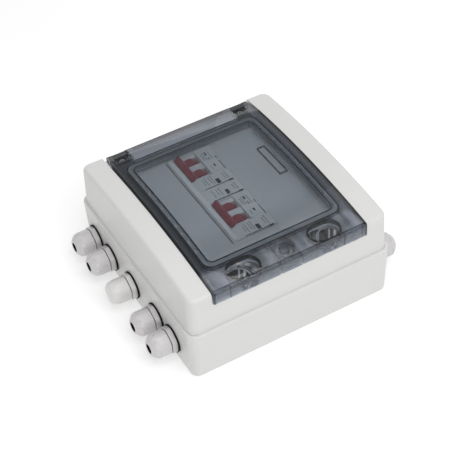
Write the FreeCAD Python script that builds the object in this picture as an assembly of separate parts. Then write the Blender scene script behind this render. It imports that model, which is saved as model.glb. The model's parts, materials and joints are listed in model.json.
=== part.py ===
import FreeCAD, Part
import math
import os
from FreeCAD import Vector

# The box lies on its back: +Z is out of the door, X is the mounted width with the hinge at -X and
# the latch at +X, and Y is the mounted height with the row of cable glands on the -Y wall.
# The origin is at the middle of the back face. Sizes are in millimetres.

# Casing
row_end_space = 36.8
box_height = 211.0
seam_z = 54.4
cover_edge_z = 94.8
arch_rise = 7.0
wall = 2.8
floor_thickness = 3.0
corner_radius = 9.5
base_draft = 1.8
rim_step = 2.5
cover_draft = 1.0
bottom_round = 2.8
rim_round = 0.8
shoulder_round = 3.8
rim_width = 5.8
rim_depth = 5.0

# Seal between base and cover
groove_inset = 2.6
groove_width = 1.8
groove_depth = 2.8
seal_height = 1.6
tongue_slack = 0.2

# Tray in the cover that the door lies in
side_strip = 26.5
door_gap = 0.7
tray_drop = 6.6
tray_thickness = 2.4
door_rise = 1.2
door_thickness = 2.4
flange_width = 2.6
flange_drop = 3.6

# Lip of the door at the latch wall
lip_bottom_z = 83.6
lip_inset = 1.8
lip_thickness = 2.4
lip_draft = 0.4
lip_gap = 0.7
lip_ledge_gap = 0.45
lip_round = 1.6
tab_half_width = 11.0
tab_slit = 1.3
tab_slit_top = 1.2
bead_height = 0.5
bead_length = 14.0

# Window well, panel and slot
well_end_margin = 2.4
well_side_margin = 13.5
well_radius = 7.0
well_step_width = 1.2
well_step_height = 2.6
well_wall = 2.4
panel_z = 86.5
panel_thickness = 2.2
row_x = 1.5
module_width = 18.0
breaker_module_count = 3
indicator_module_count = 1
spare_module_count = 1
row_y = -6.2
nose_half = 22.8
slot_slack = 0.4
slot_end_slack = 0.4

# Ribs and seal under the door
seal_rib_spread = 5.0
seal_rib_radius = 10.0
seal_rib_wall = 1.4
seal_rib_drop = 4.2
skirt_slack = 0.6
skirt_drop = 7.0
door_seal_thickness = 2.0
door_seal_slack = 0.2
rim_rib_wall = 1.6
rim_rib_gap = 0.3
border_extra = 2.2
border_gap = 0.6

# Latch end of the door
pit_inset = 13.4
pit_margin = 0.9
pit_side_margin = 8.0
pit_length = 32.0
pit_floor_z = 86.5
pit_rib_wall = 1.2
pit_rib_drop = 4.0
boss_ring_radius = 9.0
boss_ring_wall = 1.3
tab_rib_y = 10.8
tab_rib_wall = 1.2

# Screws that hold the cover
latch_screw_seat_z = 66.0
latch_well_slack = 0.4
latch_well_wall = 1.8
hinge_screw_setback = 6.8
hinge_screw_seat_z = 90.7
cover_screw_radius = 2.0
cover_screw_head_radius = 3.9
cover_screw_head_height = 2.6
cover_screw_tip_z = 36.0
cover_screw_slack = 0.2
cover_screw_head_slack = 0.3
cross_recess_width = 1.0
cross_recess_length = 4.6
cross_recess_depth = 1.3
post_wall = 2.6

# Hinge
hinge_inset = 9.8
barrel_radius = 3.6
hinge_pin_radius = 1.5
hinge_pin_play = 0.06
hinge_pin_reach = 7.0
pin_slack = 0.8
notch_side_margin = 7.0
notch_width = 15.3
corner_cut_length = 18.0
corner_cut_depth = 3.0
notch_depth = 12.1
hinge_block_gap = 0.4
hinge_block_foot_drop = 4.0
eye_radius = 3.3
band_rise = 0.6
band_end_gap = 1.1
band_ring_gap = 1.5

# Raised frame for a name on the door, left empty
frame_shift = -8.8
frame_well_margin = 15.9
frame_length = 42.4
frame_height = 8.6
frame_line = 0.9
frame_rise = 0.4

# Mounting rail
rail_face_z = 34.0
rail_height = 7.5
rail_width = 35.0
rail_channel = 27.0
rail_gauge = 1.0
rail_overhang = 10.0
rail_screw_gap = 5.0
rail_screw_radius = 2.0
rail_screw_head_radius = 4.0
rail_screw_head_height = 2.4
rail_screw_depth = 12.0
rail_hole_slack = 0.3
rail_slot_length = 15.0
rail_slot_width = 6.2
rail_slot_pitch = 25.0
pillar_length = 16.0
pillar_width = 30.0

# Devices on the rail
nose_z = 89.5
device_half = 40.5
shoulder_z = 78.0
device_back_z = 28.5
device_body_z = 62.0
device_end_step = 2.0
module_groove_width = 0.5
module_groove_depth = 0.7
device_gap = 0.2
nose_slope_y = -10.5
nose_slope_z = 86.8
nose_edge_cut = 0.7
hook_overlap = 2.2
rail_slack = 0.3
lever_y = -3.6
lever_z = 80.2
lever_spacing = 18.0
lever_centre = 20.0
lever_rest_angle = 42.0
lever_on_angle = 25.0
lever_drum_radius = 8.6
lever_width = 8.6
lever_handle_thickness = 5.0
lever_bar_length = 34.5
lever_bar_inner = 12.4
lever_tip_radius = 16.4
lever_bar_thickness = 6.2
lever_side_slack = 0.4
lever_axle_radius = 1.5
lever_axle_play = 0.06
lever_cavity_radius = 11.9
scoop_z = 86.9
scoop_length = 36.4
scoop_low_y = -16.7
scoop_high_y = 5.9
button_x = 49.4
button_y = 5.6
button_length = 6.3
button_width = 3.4
button_proud = 0.6
button_depth = 6.0
button_travel = 1.5
button_slack = 0.2
lamp_x = 12.6
lamp_proud = 0.3
terminal_inset = 9.5
terminal_hole_radius = 3.1
terminal_screw_radius = 2.8
terminal_screw_height = 4.5
terminal_screw_z = 66.0
terminal_slot_width = 1.0
terminal_slot_depth = 1.2
wire_hole_width = 9.0
wire_hole_height = 9.0
wire_hole_floor_z = 56.5
wire_hole_depth = 14.0
clip_width = 10.0
clip_thickness = 3.9
clip_tail = 4.5
clip_overlap = 2.4
clip_travel = 4.0
clip_side_slack = 0.2

# Blanking strip in the last way
blank_flange = 1.4
blank_flange_thickness = 0.8
blank_gap = 0.3

# Link bars that join the outputs of the two breakers
link_bar_thickness = 1.5
link_bar_height = 6.0
link_bar_gap = 5.5
link_prong_width = 6.0
link_prong_reach = 1.0
link_gap = 1.2
link_carrier_wall = 2.0
link_carrier_margin = 2.0

# Earth bar
earth_bar_x = 20.0
earth_bar_wall_gap = 27.0
earth_bar_length = 66.0
earth_bar_size = 8.0
earth_bar_z = 13.0
earth_screw_count = 6
earth_screw_radius = 2.0
earth_screw_head_radius = 3.0
earth_screw_head_height = 2.2
earth_screw_pitch = 9.0
earth_wire_hole_radius = 2.2
earth_holder_length = 8.0
earth_holder_wall = 2.0

# Holes that fix the box to a wall
fixing_inset = 20.0
fixing_hole_radius = 2.75
fixing_collar_radius = 6.0
fixing_collar_height = 6.0

# Cable glands
gland_z = 22.6
gland_row_from_hinge_side = (27.6, 58.5, 101.7, 148.8, 179.8)
gland_far_from_latch_side = 32.3
blind_gland = 3
gland_pad_recess = 1.6
gland_pad_thickness = 4.0
gland_pad_radius = 13.4
gland_thread_radius = 9.9
gland_hole_slack = 0.1
gland_bore_radius = 6.5
gland_flats = 24.0
gland_corner_radius = 13.0
gland_washer_radius = 12.3
gland_washer_thickness = 1.4
gland_flange_thickness = 5.6
gland_neck_radius = 8.8
gland_neck_length = 10.0
gland_nut_gap = 0.8
gland_nut_length = 17.6
gland_nut_radius = 12.0
gland_nut_flat_radius = 11.4
gland_nut_nose_radius = 8.6
gland_blind_nose_radius = 10.2
gland_nose_edge = 1.6
gland_nut_mouth_radius = 4.9
gland_nut_wall = 2.2
gland_seal_bore_radius = 3.6
gland_seal_slack = 0.05
gland_locknut_thickness = 5.0
gland_tail = 1.6

module_count = 2 * breaker_module_count + indicator_module_count + spare_module_count
row_length = module_width * module_count
row_left = row_x - row_length / 2
slot_half_x = row_length / 2 + slot_end_slack
slot_half_y = nose_half + slot_slack
half_x = row_length / 2 + row_end_space
half_y = box_height / 2
beyond_x = half_x + 2 * wall
arch_radius = (half_x ** 2 + arch_rise ** 2) / (2 * arch_rise)
arch_centre_z = cover_edge_z + arch_rise - arch_radius
cover_half_x = half_x - rim_step
cover_half_y = half_y - rim_step
door_half_height = half_y - side_strip
tray_half_y = door_half_height + door_gap
lip_outer_x = half_x - lip_inset
lip_inner_x = lip_outer_x - lip_thickness
pocket_x = lip_inner_x - lip_gap
pocket_z = lip_bottom_z - lip_ledge_gap
well_half_x = row_length / 2 + well_end_margin
well_half_y = door_half_height - well_side_margin
skirt_half_x = well_half_x - skirt_slack
skirt_half_y = well_half_y - skirt_slack
skirt_radius = well_radius - skirt_slack
seal_rib_half_x = well_half_x + seal_rib_spread
seal_rib_half_y = well_half_y + seal_rib_spread
pit_x = lip_outer_x - pit_inset
pit_width = 2 * (pit_x - row_x - seal_rib_half_x - pit_rib_wall - pit_margin)
pit_y = well_half_y - pit_side_margin - pit_length / 2
latch_well_radius = pit_width / 2 - latch_well_slack
latch_screw_y = pit_y + pit_length / 2 - pit_width / 2
hinge_x = hinge_inset - half_x
notch_x = hinge_x + notch_depth
hinge_end_y = door_half_height - corner_cut_depth
notch_outer_y = door_half_height - notch_side_margin
notch_inner_y = notch_outer_y - notch_width
hinge_screw_x = hinge_x + hinge_screw_setback
hinge_screw_y = (notch_inner_y + notch_outer_y) / 2
band_half_y = notch_inner_y - band_end_gap
band_inner_x = row_x - seal_rib_half_x - band_ring_gap
frame_x = row_x + frame_shift
frame_y = well_half_y - frame_well_margin
terminal_y = device_half - terminal_inset
link_bar_y = device_half + link_bar_gap
link_prong_end_y = terminal_y - link_prong_reach
rail_left = row_left - rail_overhang
rail_right = row_left + (module_count - spare_module_count) * module_width + rail_overhang
rail_screw_left = row_left - rail_screw_gap
rail_screw_right = rail_right - rail_overhang + rail_screw_gap
earth_bar_y = earth_bar_wall_gap - half_y
fixing_spacing_x = 2 * (half_x - fixing_inset)
fixing_spacing_y = 2 * (half_y - fixing_inset)
gland_pad_y = half_y - gland_pad_recess
gland_pad_inner_y = gland_pad_y - gland_pad_thickness
cover_depth = cover_edge_z + arch_rise - seam_z
far_above = cover_edge_z + arch_rise + cover_depth / 2


def arch_z(x, offset=0.0):
    """Height of the arched top at x, moved out of the arch by offset."""
    return arch_centre_z + math.sqrt((arch_radius + offset) ** 2 - x ** 2)


hinge_z = arch_z(hinge_x, door_rise) - barrel_radius


def box(x0, x1, y0, y1, z0, z1):
    """Block between two corners."""
    return Part.makeBox(x1 - x0, y1 - y0, z1 - z0, Vector(x0, y0, z0))


def rod(x, y, z0, z1, radius):
    """Round rod along Z."""
    return Part.makeCylinder(radius, z1 - z0, Vector(x, y, z0), Vector(0, 0, 1))


def rod_x(x0, x1, y, z, radius):
    """Round rod along X."""
    return Part.makeCylinder(radius, x1 - x0, Vector(x0, y, z), Vector(1, 0, 0))


def rod_y(x, y0, y1, z, radius):
    """Round rod along Y."""
    return Part.makeCylinder(radius, y1 - y0, Vector(x, y0, z), Vector(0, 1, 0))


def joined(shapes):
    """Fuses a list of shapes into one."""
    result = shapes[0]
    for shape in shapes[1:]:
        result = result.fuse(shape)
    return result.removeSplitter()


def cut_away(body, shapes):
    """Cuts each shape in a list out of the body."""
    for shape in shapes:
        body = body.cut(shape)
    return body


def mirrored_y(shape):
    """Mirror image across the plane Y = 0."""
    return shape.mirror(Vector(0, 0, 0), Vector(0, 1, 0))


def rounded_wire(half_length, half_height, radius, z, x=0.0, y=0.0):
    """Rounded rectangle around (x, y) at height z, with ends just short of full rounds at most."""
    radius = min(radius, half_length - 0.01, half_height - 0.01)
    edges = []
    corners = ((1, 1), (-1, 1), (-1, -1), (1, -1))
    for index, (sx, sy) in enumerate(corners):
        cx = x + sx * (half_length - radius)
        cy = y + sy * (half_height - radius)
        start = math.radians(90 * index)
        points = []
        for step in range(3):
            angle = start + math.radians(45 * step)
            points.append(Vector(cx + radius * math.cos(angle), cy + radius * math.sin(angle), z))
        if edges:
            edges.append(Part.makeLine(edges[-1].Vertexes[-1].Point, points[0]))
        edges.append(Part.Arc(*points).toShape())
    edges.append(Part.makeLine(edges[-1].Vertexes[-1].Point, edges[0].Vertexes[0].Point))
    return Part.Wire(edges)


def rounded_block(half_length, half_height, radius, z0, z1, x=0.0, y=0.0):
    """Upright prism with a rounded rectangular outline."""
    wire = rounded_wire(half_length, half_height, radius, z0, x, y)
    return Part.Face(wire).extrude(Vector(0, 0, z1 - z0))


def rounded_ring(half_length, half_height, radius, thickness, z0, z1, x=0.0, y=0.0):
    """Upright wall that follows a rounded rectangle, with its outer side on it."""
    outer = rounded_block(half_length, half_height, radius, z0, z1, x, y)
    inner_radius = max(radius - thickness, 0.3)
    inner = rounded_block(half_length - thickness, half_height - thickness, inner_radius, z0, z1, x, y)
    return outer.cut(inner)


def drafted_block(half_length, half_height, radius, draft, z0, z1):
    """Rounded block at z1 that grows or shrinks to its outline minus draft at z0."""
    low = rounded_wire(half_length - draft, half_height - draft, radius - min(draft, radius / 2), z0)
    high = rounded_wire(half_length, half_height, radius, z1)
    return Part.makeLoft([low, high], True, True)


def prism_along_y(points, y0, y1):
    """Polygon of (x, z) points carried along Y."""
    corners = [Vector(px, y0, pz) for px, pz in points]
    return Part.Face(Part.makePolygon(corners + corners[:1])).extrude(Vector(0, y1 - y0, 0))


def prism_along_x(points, x0, x1):
    """Polygon of (y, z) points carried along X."""
    corners = [Vector(x0, py, pz) for py, pz in points]
    return Part.Face(Part.makePolygon(corners + corners[:1])).extrude(Vector(x1 - x0, 0, 0))


def arch_edge(x0, x1, y, offset):
    """Arc of the arched top from x0 to x1."""
    middle = (x0 + x1) / 2
    points = [Vector(px, y, arch_z(px, offset)) for px in (x0, middle, x1)]
    return Part.Arc(*points).toShape()


def under_arch(x0, x1, y0, y1, z0, offset):
    """Everything between height z0 and the arched top."""
    top = arch_edge(x0, x1, y0, offset)
    low = [Vector(x0, y0, z0), Vector(x1, y0, z0)]
    sides = [Part.makeLine(low[0], top.Vertexes[0].Point), Part.makeLine(top.Vertexes[-1].Point, low[1])]
    face = Part.Face(Part.Wire([sides[0], top, sides[1], Part.makeLine(low[1], low[0])]))
    return face.extrude(Vector(0, y1 - y0, 0))


def arched_sheet(x0, x1, y0, y1, offset_low, offset_high):
    """Sheet between two offsets of the arched top."""
    top = arch_edge(x0, x1, y0, offset_high)
    low = arch_edge(x0, x1, y0, offset_low)
    left = Part.makeLine(low.Vertexes[0].Point, top.Vertexes[0].Point)
    right = Part.makeLine(top.Vertexes[-1].Point, low.Vertexes[-1].Point)
    return Part.Face(Part.Wire([left, top, right, low])).extrude(Vector(0, y1 - y0, 0))


def edges_near_z(shape, z, tolerance=0.01):
    """Edges that lie wholly at height z."""
    found = []
    for edge in shape.Edges:
        if all(abs(vertex.Point.z - z) < tolerance for vertex in edge.Vertexes):
            found.append(edge)
    return found


def cover_screw_places():
    """X, Y and seat height of the four cover screws."""
    latch = [(pit_x, side * latch_screw_y, latch_screw_seat_z) for side in (-1, 1)]
    hinge = [(hinge_screw_x, side * hinge_screw_y, hinge_screw_seat_z) for side in (-1, 1)]
    return latch + hinge


def gland_places():
    """X and facing direction of each gland, with the row of five first."""
    row = [(distance - half_x, -1) for distance in gland_row_from_hinge_side]
    return row + [(half_x - gland_far_from_latch_side, 1)]


def rail_screw_places():
    """X of the two rail screws."""
    return (rail_screw_left, rail_screw_right)


def base_outer():
    """Drafted tub without its hollow."""
    tub = drafted_block(half_x, half_y, corner_radius, base_draft, 0, seam_z)
    tub = tub.makeFillet(bottom_round, edges_near_z(tub, 0))
    return tub.makeFillet(rim_round, edges_near_z(tub, seam_z))


def base_hollow():
    """Room inside the tub, with the thick rim left standing."""
    inner_top = seam_z - rim_depth
    lean = base_draft * (inner_top - floor_thickness) / seam_z
    top_inset = wall + base_draft * rim_depth / seam_z
    low = drafted_block(half_x - top_inset, half_y - top_inset, corner_radius - wall, lean,
                        floor_thickness, inner_top)
    rim = rounded_block(half_x - rim_width, half_y - rim_width, corner_radius - rim_width,
                        inner_top - 0.01, seam_z + 1)
    return low.fuse(rim)


def seal_groove():
    """Groove in the rim for the cover seal."""
    return rounded_ring(half_x - groove_inset, half_y - groove_inset, corner_radius - groove_inset,
                        groove_width, seam_z - groove_depth, seam_z + 1)


def boss_with_web(x, y, radius, z0, z1, wall_x):
    """Screw boss joined to the nearer side wall by a web."""
    web = box(min(x, wall_x), max(x, wall_x), y - radius / 4, y + radius / 4, z0, z1)
    return joined([rod(x, y, z0, z1, radius), web])


def base_housing():
    """Tub with bosses, rail pillars, fixing holes and gland holes."""
    tub = base_outer().cut(base_hollow())
    boss_radius = cover_screw_radius + post_wall
    rail_web_z = rail_face_z - rail_height
    added = []
    holes = [seal_groove()]
    for x, y, seat_z in cover_screw_places():
        wall_x = math.copysign(half_x - rim_width + 0.5, x)
        added.append(boss_with_web(x, y, boss_radius, floor_thickness - 1, seam_z, wall_x))
        holes.append(rod(x, y, cover_screw_tip_z, seam_z + 1, cover_screw_radius))
    for x in rail_screw_places():
        added.append(rounded_block(pillar_length / 2, pillar_width / 2, 3.0, floor_thickness - 1,
                                   rail_web_z, x, row_y))
        holes.append(rod(x, row_y, rail_web_z - rail_screw_depth, rail_web_z + 1, rail_screw_radius))
    for sx in (-1, 1):
        for sy in (-1, 1):
            x = sx * fixing_spacing_x / 2
            y = sy * fixing_spacing_y / 2
            added.append(rod(x, y, floor_thickness - 1, fixing_collar_height, fixing_collar_radius))
            holes.append(rod(x, y, -1, fixing_collar_height + 1, fixing_hole_radius))
    for x, side in gland_places():
        inner, outer = sorted((side * gland_pad_inner_y, side * gland_pad_y))
        added.append(rod_y(x, inner, outer, gland_z, gland_pad_radius))
        inner, outer = sorted((side * gland_pad_y, side * (gland_pad_y + 4)))
        holes.append(rod_y(x, inner, outer, gland_z, gland_pad_radius + 0.2))
        inner, outer = sorted((side * (gland_pad_inner_y - 4), side * (gland_pad_y + 4)))
        holes.append(rod_y(x, inner, outer, gland_z, gland_thread_radius + gland_hole_slack))
    return cut_away(joined([tub] + added), holes)


def cover_outer():
    """Drafted cover with its arched top and rounded shoulders."""
    height = cover_edge_z + arch_rise + 4 - seam_z
    grow = cover_draft * height / (cover_edge_z - seam_z)
    low = rounded_wire(cover_half_x, cover_half_y, corner_radius - 1, seam_z)
    high = rounded_wire(cover_half_x - grow, cover_half_y - grow, corner_radius - 1, seam_z + height)
    block = Part.makeLoft([low, high], True, True)
    block = block.common(under_arch(-half_x, half_x, -half_y, half_y, seam_z - 1, 0))
    top_edges = []
    for edge in block.Edges:
        if all(abs(v.Point.z - arch_z(v.Point.x)) < 0.01 for v in edge.Vertexes):
            top_edges.append(edge)
    return block.makeFillet(shoulder_round, top_edges)


def cover_hollow():
    """Room inside the cover above the seam, without the tray, well and posts."""
    grow = cover_draft * (cover_edge_z - seam_z) / (cover_edge_z - seam_z)
    low = rounded_wire(cover_half_x - wall, cover_half_y - wall, corner_radius - 1 - wall, seam_z - 1)
    high = rounded_wire(cover_half_x - wall - 2 * grow, cover_half_y - wall - 2 * grow,
                        corner_radius - 1 - wall, 2 * cover_edge_z - seam_z)
    room = Part.makeLoft([low, high], True, True)
    room = room.common(under_arch(-half_x, half_x, -half_y, half_y, seam_z - 2, -wall))
    tray_under = under_arch(-half_x, half_x, -tray_half_y - tray_thickness, tray_half_y + tray_thickness,
                            0, -tray_drop - tray_thickness)
    tray = box(-half_x, half_x, -tray_half_y - tray_thickness, tray_half_y + tray_thickness,
               seam_z, far_above).cut(tray_under)
    front = box(pocket_x - tray_thickness, half_x, -tray_half_y - tray_thickness,
                tray_half_y + tray_thickness, pocket_z - tray_thickness, far_above)
    pot = rounded_block(well_half_x + well_wall, well_half_y + well_wall, well_radius + well_wall,
                        panel_z - panel_thickness, far_above, row_x)
    keep = [tray, front, pot]
    for side in (-1, 1):
        keep.append(rounded_block(pit_width / 2 + 2, pit_length / 2 + 2, pit_width / 2 + 2,
                                  pit_floor_z - 2, far_above, pit_x, side * pit_y))
    return cut_away(room, keep)


def cover_posts():
    """Posts in the cover around the four cover screws."""
    posts = []
    for x, y, seat_z in cover_screw_places():
        top = min(arch_z(x, -tray_drop) - 1, pit_floor_z if x > 0 else far_above)
        wide = latch_well_radius + latch_well_wall if x > 0 else cover_screw_radius + post_wall
        wall_x = math.copysign(cover_half_x - wall, x)
        posts.append(boss_with_web(x, y, cover_screw_radius + post_wall, seam_z, top, wall_x))
        if x > 0:
            posts.append(rod(x, y, latch_screw_seat_z - 3, top, wide))
    return posts


def cover_holes():
    """Tray, lip pocket, well, slot, pits and screw holes of the cover."""
    tray = box(-beyond_x, beyond_x, -tray_half_y, tray_half_y, seam_z, far_above)
    tray = tray.cut(under_arch(-beyond_x, beyond_x, -half_y, half_y, 0, -tray_drop))
    pocket = box(pocket_x, beyond_x, -tray_half_y, tray_half_y, pocket_z, far_above)
    well = rounded_block(well_half_x, well_half_y, well_radius, panel_z + well_step_height, far_above, row_x)
    well_foot = rounded_block(well_half_x - well_step_width, well_half_y - well_step_width,
                              well_radius - well_step_width, panel_z, far_above, row_x)
    slot = box(row_x - slot_half_x, row_x + slot_half_x, row_y - slot_half_y, row_y + slot_half_y,
               panel_z - panel_thickness - 1, far_above)
    holes = [tray, pocket, well, well_foot, slot]
    for side in (-1, 1):
        holes.append(rounded_block(pit_width / 2, pit_length / 2, pit_width / 2, pit_floor_z,
                                   far_above, pit_x, side * pit_y))
        holes.append(rod(pit_x, side * latch_screw_y, latch_screw_seat_z, far_above, latch_well_radius))
    for x, y, seat_z in cover_screw_places():
        holes.append(rod(x, y, seam_z - 1, far_above, cover_screw_radius + cover_screw_slack))
    return holes


def cover_rim_rib():
    """Rib round the well that presses on the door seal."""
    half_gap = (seal_rib_half_x - seal_rib_wall - skirt_half_x - rim_rib_wall) / 2
    reach = skirt_half_x + half_gap + rim_rib_wall
    reach_y = reach - skirt_half_x + skirt_half_y
    ring = rounded_ring(reach, reach_y, skirt_radius + half_gap + rim_rib_wall, rim_rib_wall,
                        panel_z, far_above, row_x)
    top = door_rise - door_thickness - door_seal_thickness - rim_rib_gap
    band = arched_sheet(-half_x, half_x, -half_y, half_y, -tray_drop - 1, top)
    return ring.common(band)


def cover_tongue():
    """Tongue under the cover's edge that presses on the cover seal."""
    inset = groove_inset + tongue_slack
    return rounded_ring(half_x - inset, half_y - inset, corner_radius - inset,
                        groove_width - 2 * tongue_slack, seam_z - groove_depth + seal_height, seam_z + 1)


def cover_housing():
    """Upper half of the casing, with the panel that the devices look through."""
    shell = cover_outer().cut(cover_hollow())
    shell = joined([shell] + cover_posts())
    shell = cut_away(shell, cover_holes()[:2])
    shell = joined([shell, cover_rim_rib(), cover_tongue()])
    return cut_away(shell, cover_holes()[2:])


def cover_gasket():
    """Seal cord in the groove of the base's rim."""
    return rounded_ring(half_x - groove_inset, half_y - groove_inset, corner_radius - groove_inset,
                        groove_width, seam_z - groove_depth, seam_z - groove_depth + seal_height)


def door_plate():
    """Arched plate of the door with its side flanges and lip."""
    plate = arched_sheet(hinge_x, lip_outer_x, -door_half_height, door_half_height,
                         door_rise - door_thickness, door_rise)
    under = door_rise - door_thickness
    flange_x = hinge_x + corner_cut_length / 2
    flange = arched_sheet(flange_x, lip_inner_x, door_half_height - flange_width, door_half_height,
                          under - flange_drop, under)
    lip_top = arch_z(lip_outer_x, door_rise)
    lip = prism_along_y([(lip_inner_x + lip_draft, lip_bottom_z), (lip_outer_x + lip_draft, lip_bottom_z),
                         (lip_outer_x, lip_top), (lip_inner_x, arch_z(lip_inner_x, under))],
                        -door_half_height, door_half_height)
    shape = joined([plate, flange, mirrored_y(flange), lip])
    front_edges = []
    for edge in shape.Edges:
        ends = [v.Point for v in edge.Vertexes]
        if all(abs(end.x - lip_outer_x) < 0.01 and end.z > cover_edge_z for end in ends):
            front_edges.append(edge)
        elif all(end.x > lip_outer_x - 0.01 for end in ends) and ends[0].y == ends[-1].y:
            front_edges.append(edge)
    return shape.makeFillet(lip_round, front_edges)


def door_corner_cut():
    """Slanting cut along the upper edge of the door beside the hinge."""
    outline = [Vector(hinge_x - 2 * barrel_radius, hinge_end_y, panel_z), Vector(hinge_x, hinge_end_y, panel_z),
               Vector(hinge_x + corner_cut_length, door_half_height, panel_z),
               Vector(hinge_x + corner_cut_length, half_y, panel_z),
               Vector(hinge_x - 2 * barrel_radius, half_y, panel_z)]
    face = Part.Face(Part.makePolygon(outline + outline[:1]))
    return face.extrude(Vector(0, 0, far_above - panel_z))


def door_ribs():
    """Ribs under the door: seal channel, skirt, pit collars, tab ribs and round boss."""
    under = door_rise - door_thickness
    shapes = []
    rings = [
        (rounded_ring(seal_rib_half_x, seal_rib_half_y, seal_rib_radius, seal_rib_wall, panel_z, far_above,
                      row_x),
         seal_rib_drop),
        (rounded_ring(skirt_half_x, skirt_half_y, skirt_radius, seal_rib_wall, panel_z, far_above, row_x),
         skirt_drop),
    ]
    for side in (-1, 1):
        collar = rounded_ring(pit_width / 2 + pit_rib_wall, pit_length / 2 + pit_rib_wall,
                              pit_width / 2 + pit_rib_wall, pit_rib_wall, panel_z, far_above,
                              pit_x, side * pit_y)
        rings.append((collar, pit_rib_drop))
        web = box(row_x + seal_rib_half_x - 1, lip_inner_x + 0.5, side * tab_rib_y - tab_rib_wall / 2,
                  side * tab_rib_y + tab_rib_wall / 2, panel_z, far_above)
        rings.append((web, pit_rib_drop))
    for radius in (boss_ring_radius, boss_ring_radius - 4):
        tube = rod(pit_x, 0, panel_z, far_above, radius)
        rings.append((tube.cut(rod(pit_x, 0, panel_z, far_above, radius - boss_ring_wall)), pit_rib_drop))
    for ring, drop in rings:
        band = arched_sheet(-half_x, lip_inner_x + lip_thickness / 2, -half_y, half_y, under - drop, under + 0.5)
        shapes.append(ring.common(band))
    return shapes


def door_border():
    """Thicker border of the door outside its seal channel, with pits, boss and hinge side left thin."""
    under = door_rise - door_thickness
    side = door_half_height - flange_width / 2
    region = box(notch_x + border_gap, lip_inner_x + lip_thickness / 2, -side, side, panel_z, far_above)
    thin = [rounded_block(seal_rib_half_x - 0.5, seal_rib_half_y - 0.5, seal_rib_radius - 0.5, panel_z - 1,
                          far_above + 1, row_x),
            box(-half_x, row_x + 0.5 - seal_rib_half_x, -notch_inner_y, notch_inner_y, panel_z - 1, far_above + 1),
            rod(pit_x, 0, panel_z - 1, far_above + 1, boss_ring_radius - 0.5)]
    for sign in (-1, 1):
        thin.append(rounded_block(pit_width / 2 + 0.4, pit_length / 2 + 0.4, pit_width / 2, panel_z - 1,
                                  far_above + 1, pit_x, sign * pit_y))
    sheet = arched_sheet(-half_x, half_x, -half_y, half_y, under - border_extra, under + 0.5)
    return cut_away(region, thin).common(sheet)


def door_barrels():
    """Round hinge edge of the door in three lengths."""
    inner = rod_y(hinge_x, -notch_inner_y, notch_inner_y, hinge_z, barrel_radius)
    outer = rod_y(hinge_x, notch_outer_y, hinge_end_y, hinge_z, barrel_radius)
    return [inner, outer, mirrored_y(outer)]


def hinge_pin_span():
    """Y of the inner and outer end of a hinge pin."""
    return notch_inner_y - hinge_pin_reach, hinge_end_y - pin_slack


def name_frame():
    """Empty raised frame on the door."""
    ring = rounded_ring(frame_length / 2, frame_height / 2, 0.6, frame_line, panel_z, far_above,
                        frame_x, frame_y)
    return ring.common(arched_sheet(-half_x, half_x, -half_y, half_y, door_rise - 0.5,
                                    door_rise + frame_rise))


def window_door():
    """Clear smoky door with its hinge edge, ribs, lip and finger tab."""
    plate = door_plate()
    notch = box(hinge_x - barrel_radius - 1, notch_x, notch_inner_y, notch_outer_y, panel_z, far_above)
    plate = cut_away(plate, [notch, mirrored_y(notch)])
    band = arched_sheet(hinge_x, band_inner_x, -band_half_y, band_half_y, door_rise - 0.5,
                        door_rise + band_rise)
    bead_z = lip_bottom_z + 3.2
    bead = rod_y(lip_inner_x + lip_draft, -bead_length / 2, bead_length / 2, bead_z, bead_height)
    door = joined([plate, band, name_frame(), bead, door_border()] + door_barrels() + door_ribs())
    pin_low, pin_high = hinge_pin_span()
    hole = rod_y(hinge_x, pin_low - pin_slack, door_half_height + 1, hinge_z,
                 hinge_pin_radius + hinge_pin_play)
    slits = []
    for side in (-1, 1):
        middle = side * tab_half_width
        slits.append(box(lip_inner_x - 1, beyond_x, middle - tab_slit / 2, middle + tab_slit / 2,
                         lip_bottom_z - 1, arch_z(lip_outer_x, 0) - tab_slit_top))
    cut = door_corner_cut()
    return cut_away(door, [hole, mirrored_y(hole), cut, mirrored_y(cut)] + slits)


def door_gasket():
    """Seal in the channel under the door."""
    under = door_rise - door_thickness
    inner_half_x = skirt_half_x + door_seal_slack
    inner_half_y = skirt_half_y + door_seal_slack
    outer_half_x = seal_rib_half_x - seal_rib_wall - door_seal_slack
    outer_half_y = seal_rib_half_y - seal_rib_wall - door_seal_slack
    outer = rounded_block(outer_half_x, outer_half_y, seal_rib_radius - seal_rib_wall, panel_z, far_above,
                          row_x)
    inner = rounded_block(inner_half_x, inner_half_y, skirt_radius, panel_z, far_above, row_x)
    band = arched_sheet(-half_x, half_x, -half_y, half_y, under - door_seal_thickness, under)
    return outer.cut(inner).common(band)


def hinge_block():
    """Block on the cover that carries the pin in the upper notch of the door."""
    low_y = notch_inner_y + hinge_block_gap
    high_y = notch_outer_y - hinge_block_gap
    foot = arched_sheet(hinge_x, notch_x - hinge_block_gap - 0.2, low_y, high_y, -tray_drop,
                        -tray_drop + hinge_block_foot_drop)
    eye = rod_y(hinge_x, low_y, high_y, hinge_z, eye_radius)
    block = joined([foot, eye])
    screw = rod(hinge_screw_x, hinge_screw_y, 0, far_above, cover_screw_radius + cover_screw_slack)
    seat = rod(hinge_screw_x, hinge_screw_y, hinge_screw_seat_z, far_above,
               cover_screw_head_radius + cover_screw_head_slack)
    pin = rod_y(hinge_x, low_y - 1, high_y + 1, hinge_z, hinge_pin_radius)
    return cut_away(block, [screw, seat, pin])


def hinge_pin():
    """Steel pin of the upper hinge."""
    low, high = hinge_pin_span()
    return rod_y(hinge_x, low, high, hinge_z, hinge_pin_radius)


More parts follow.
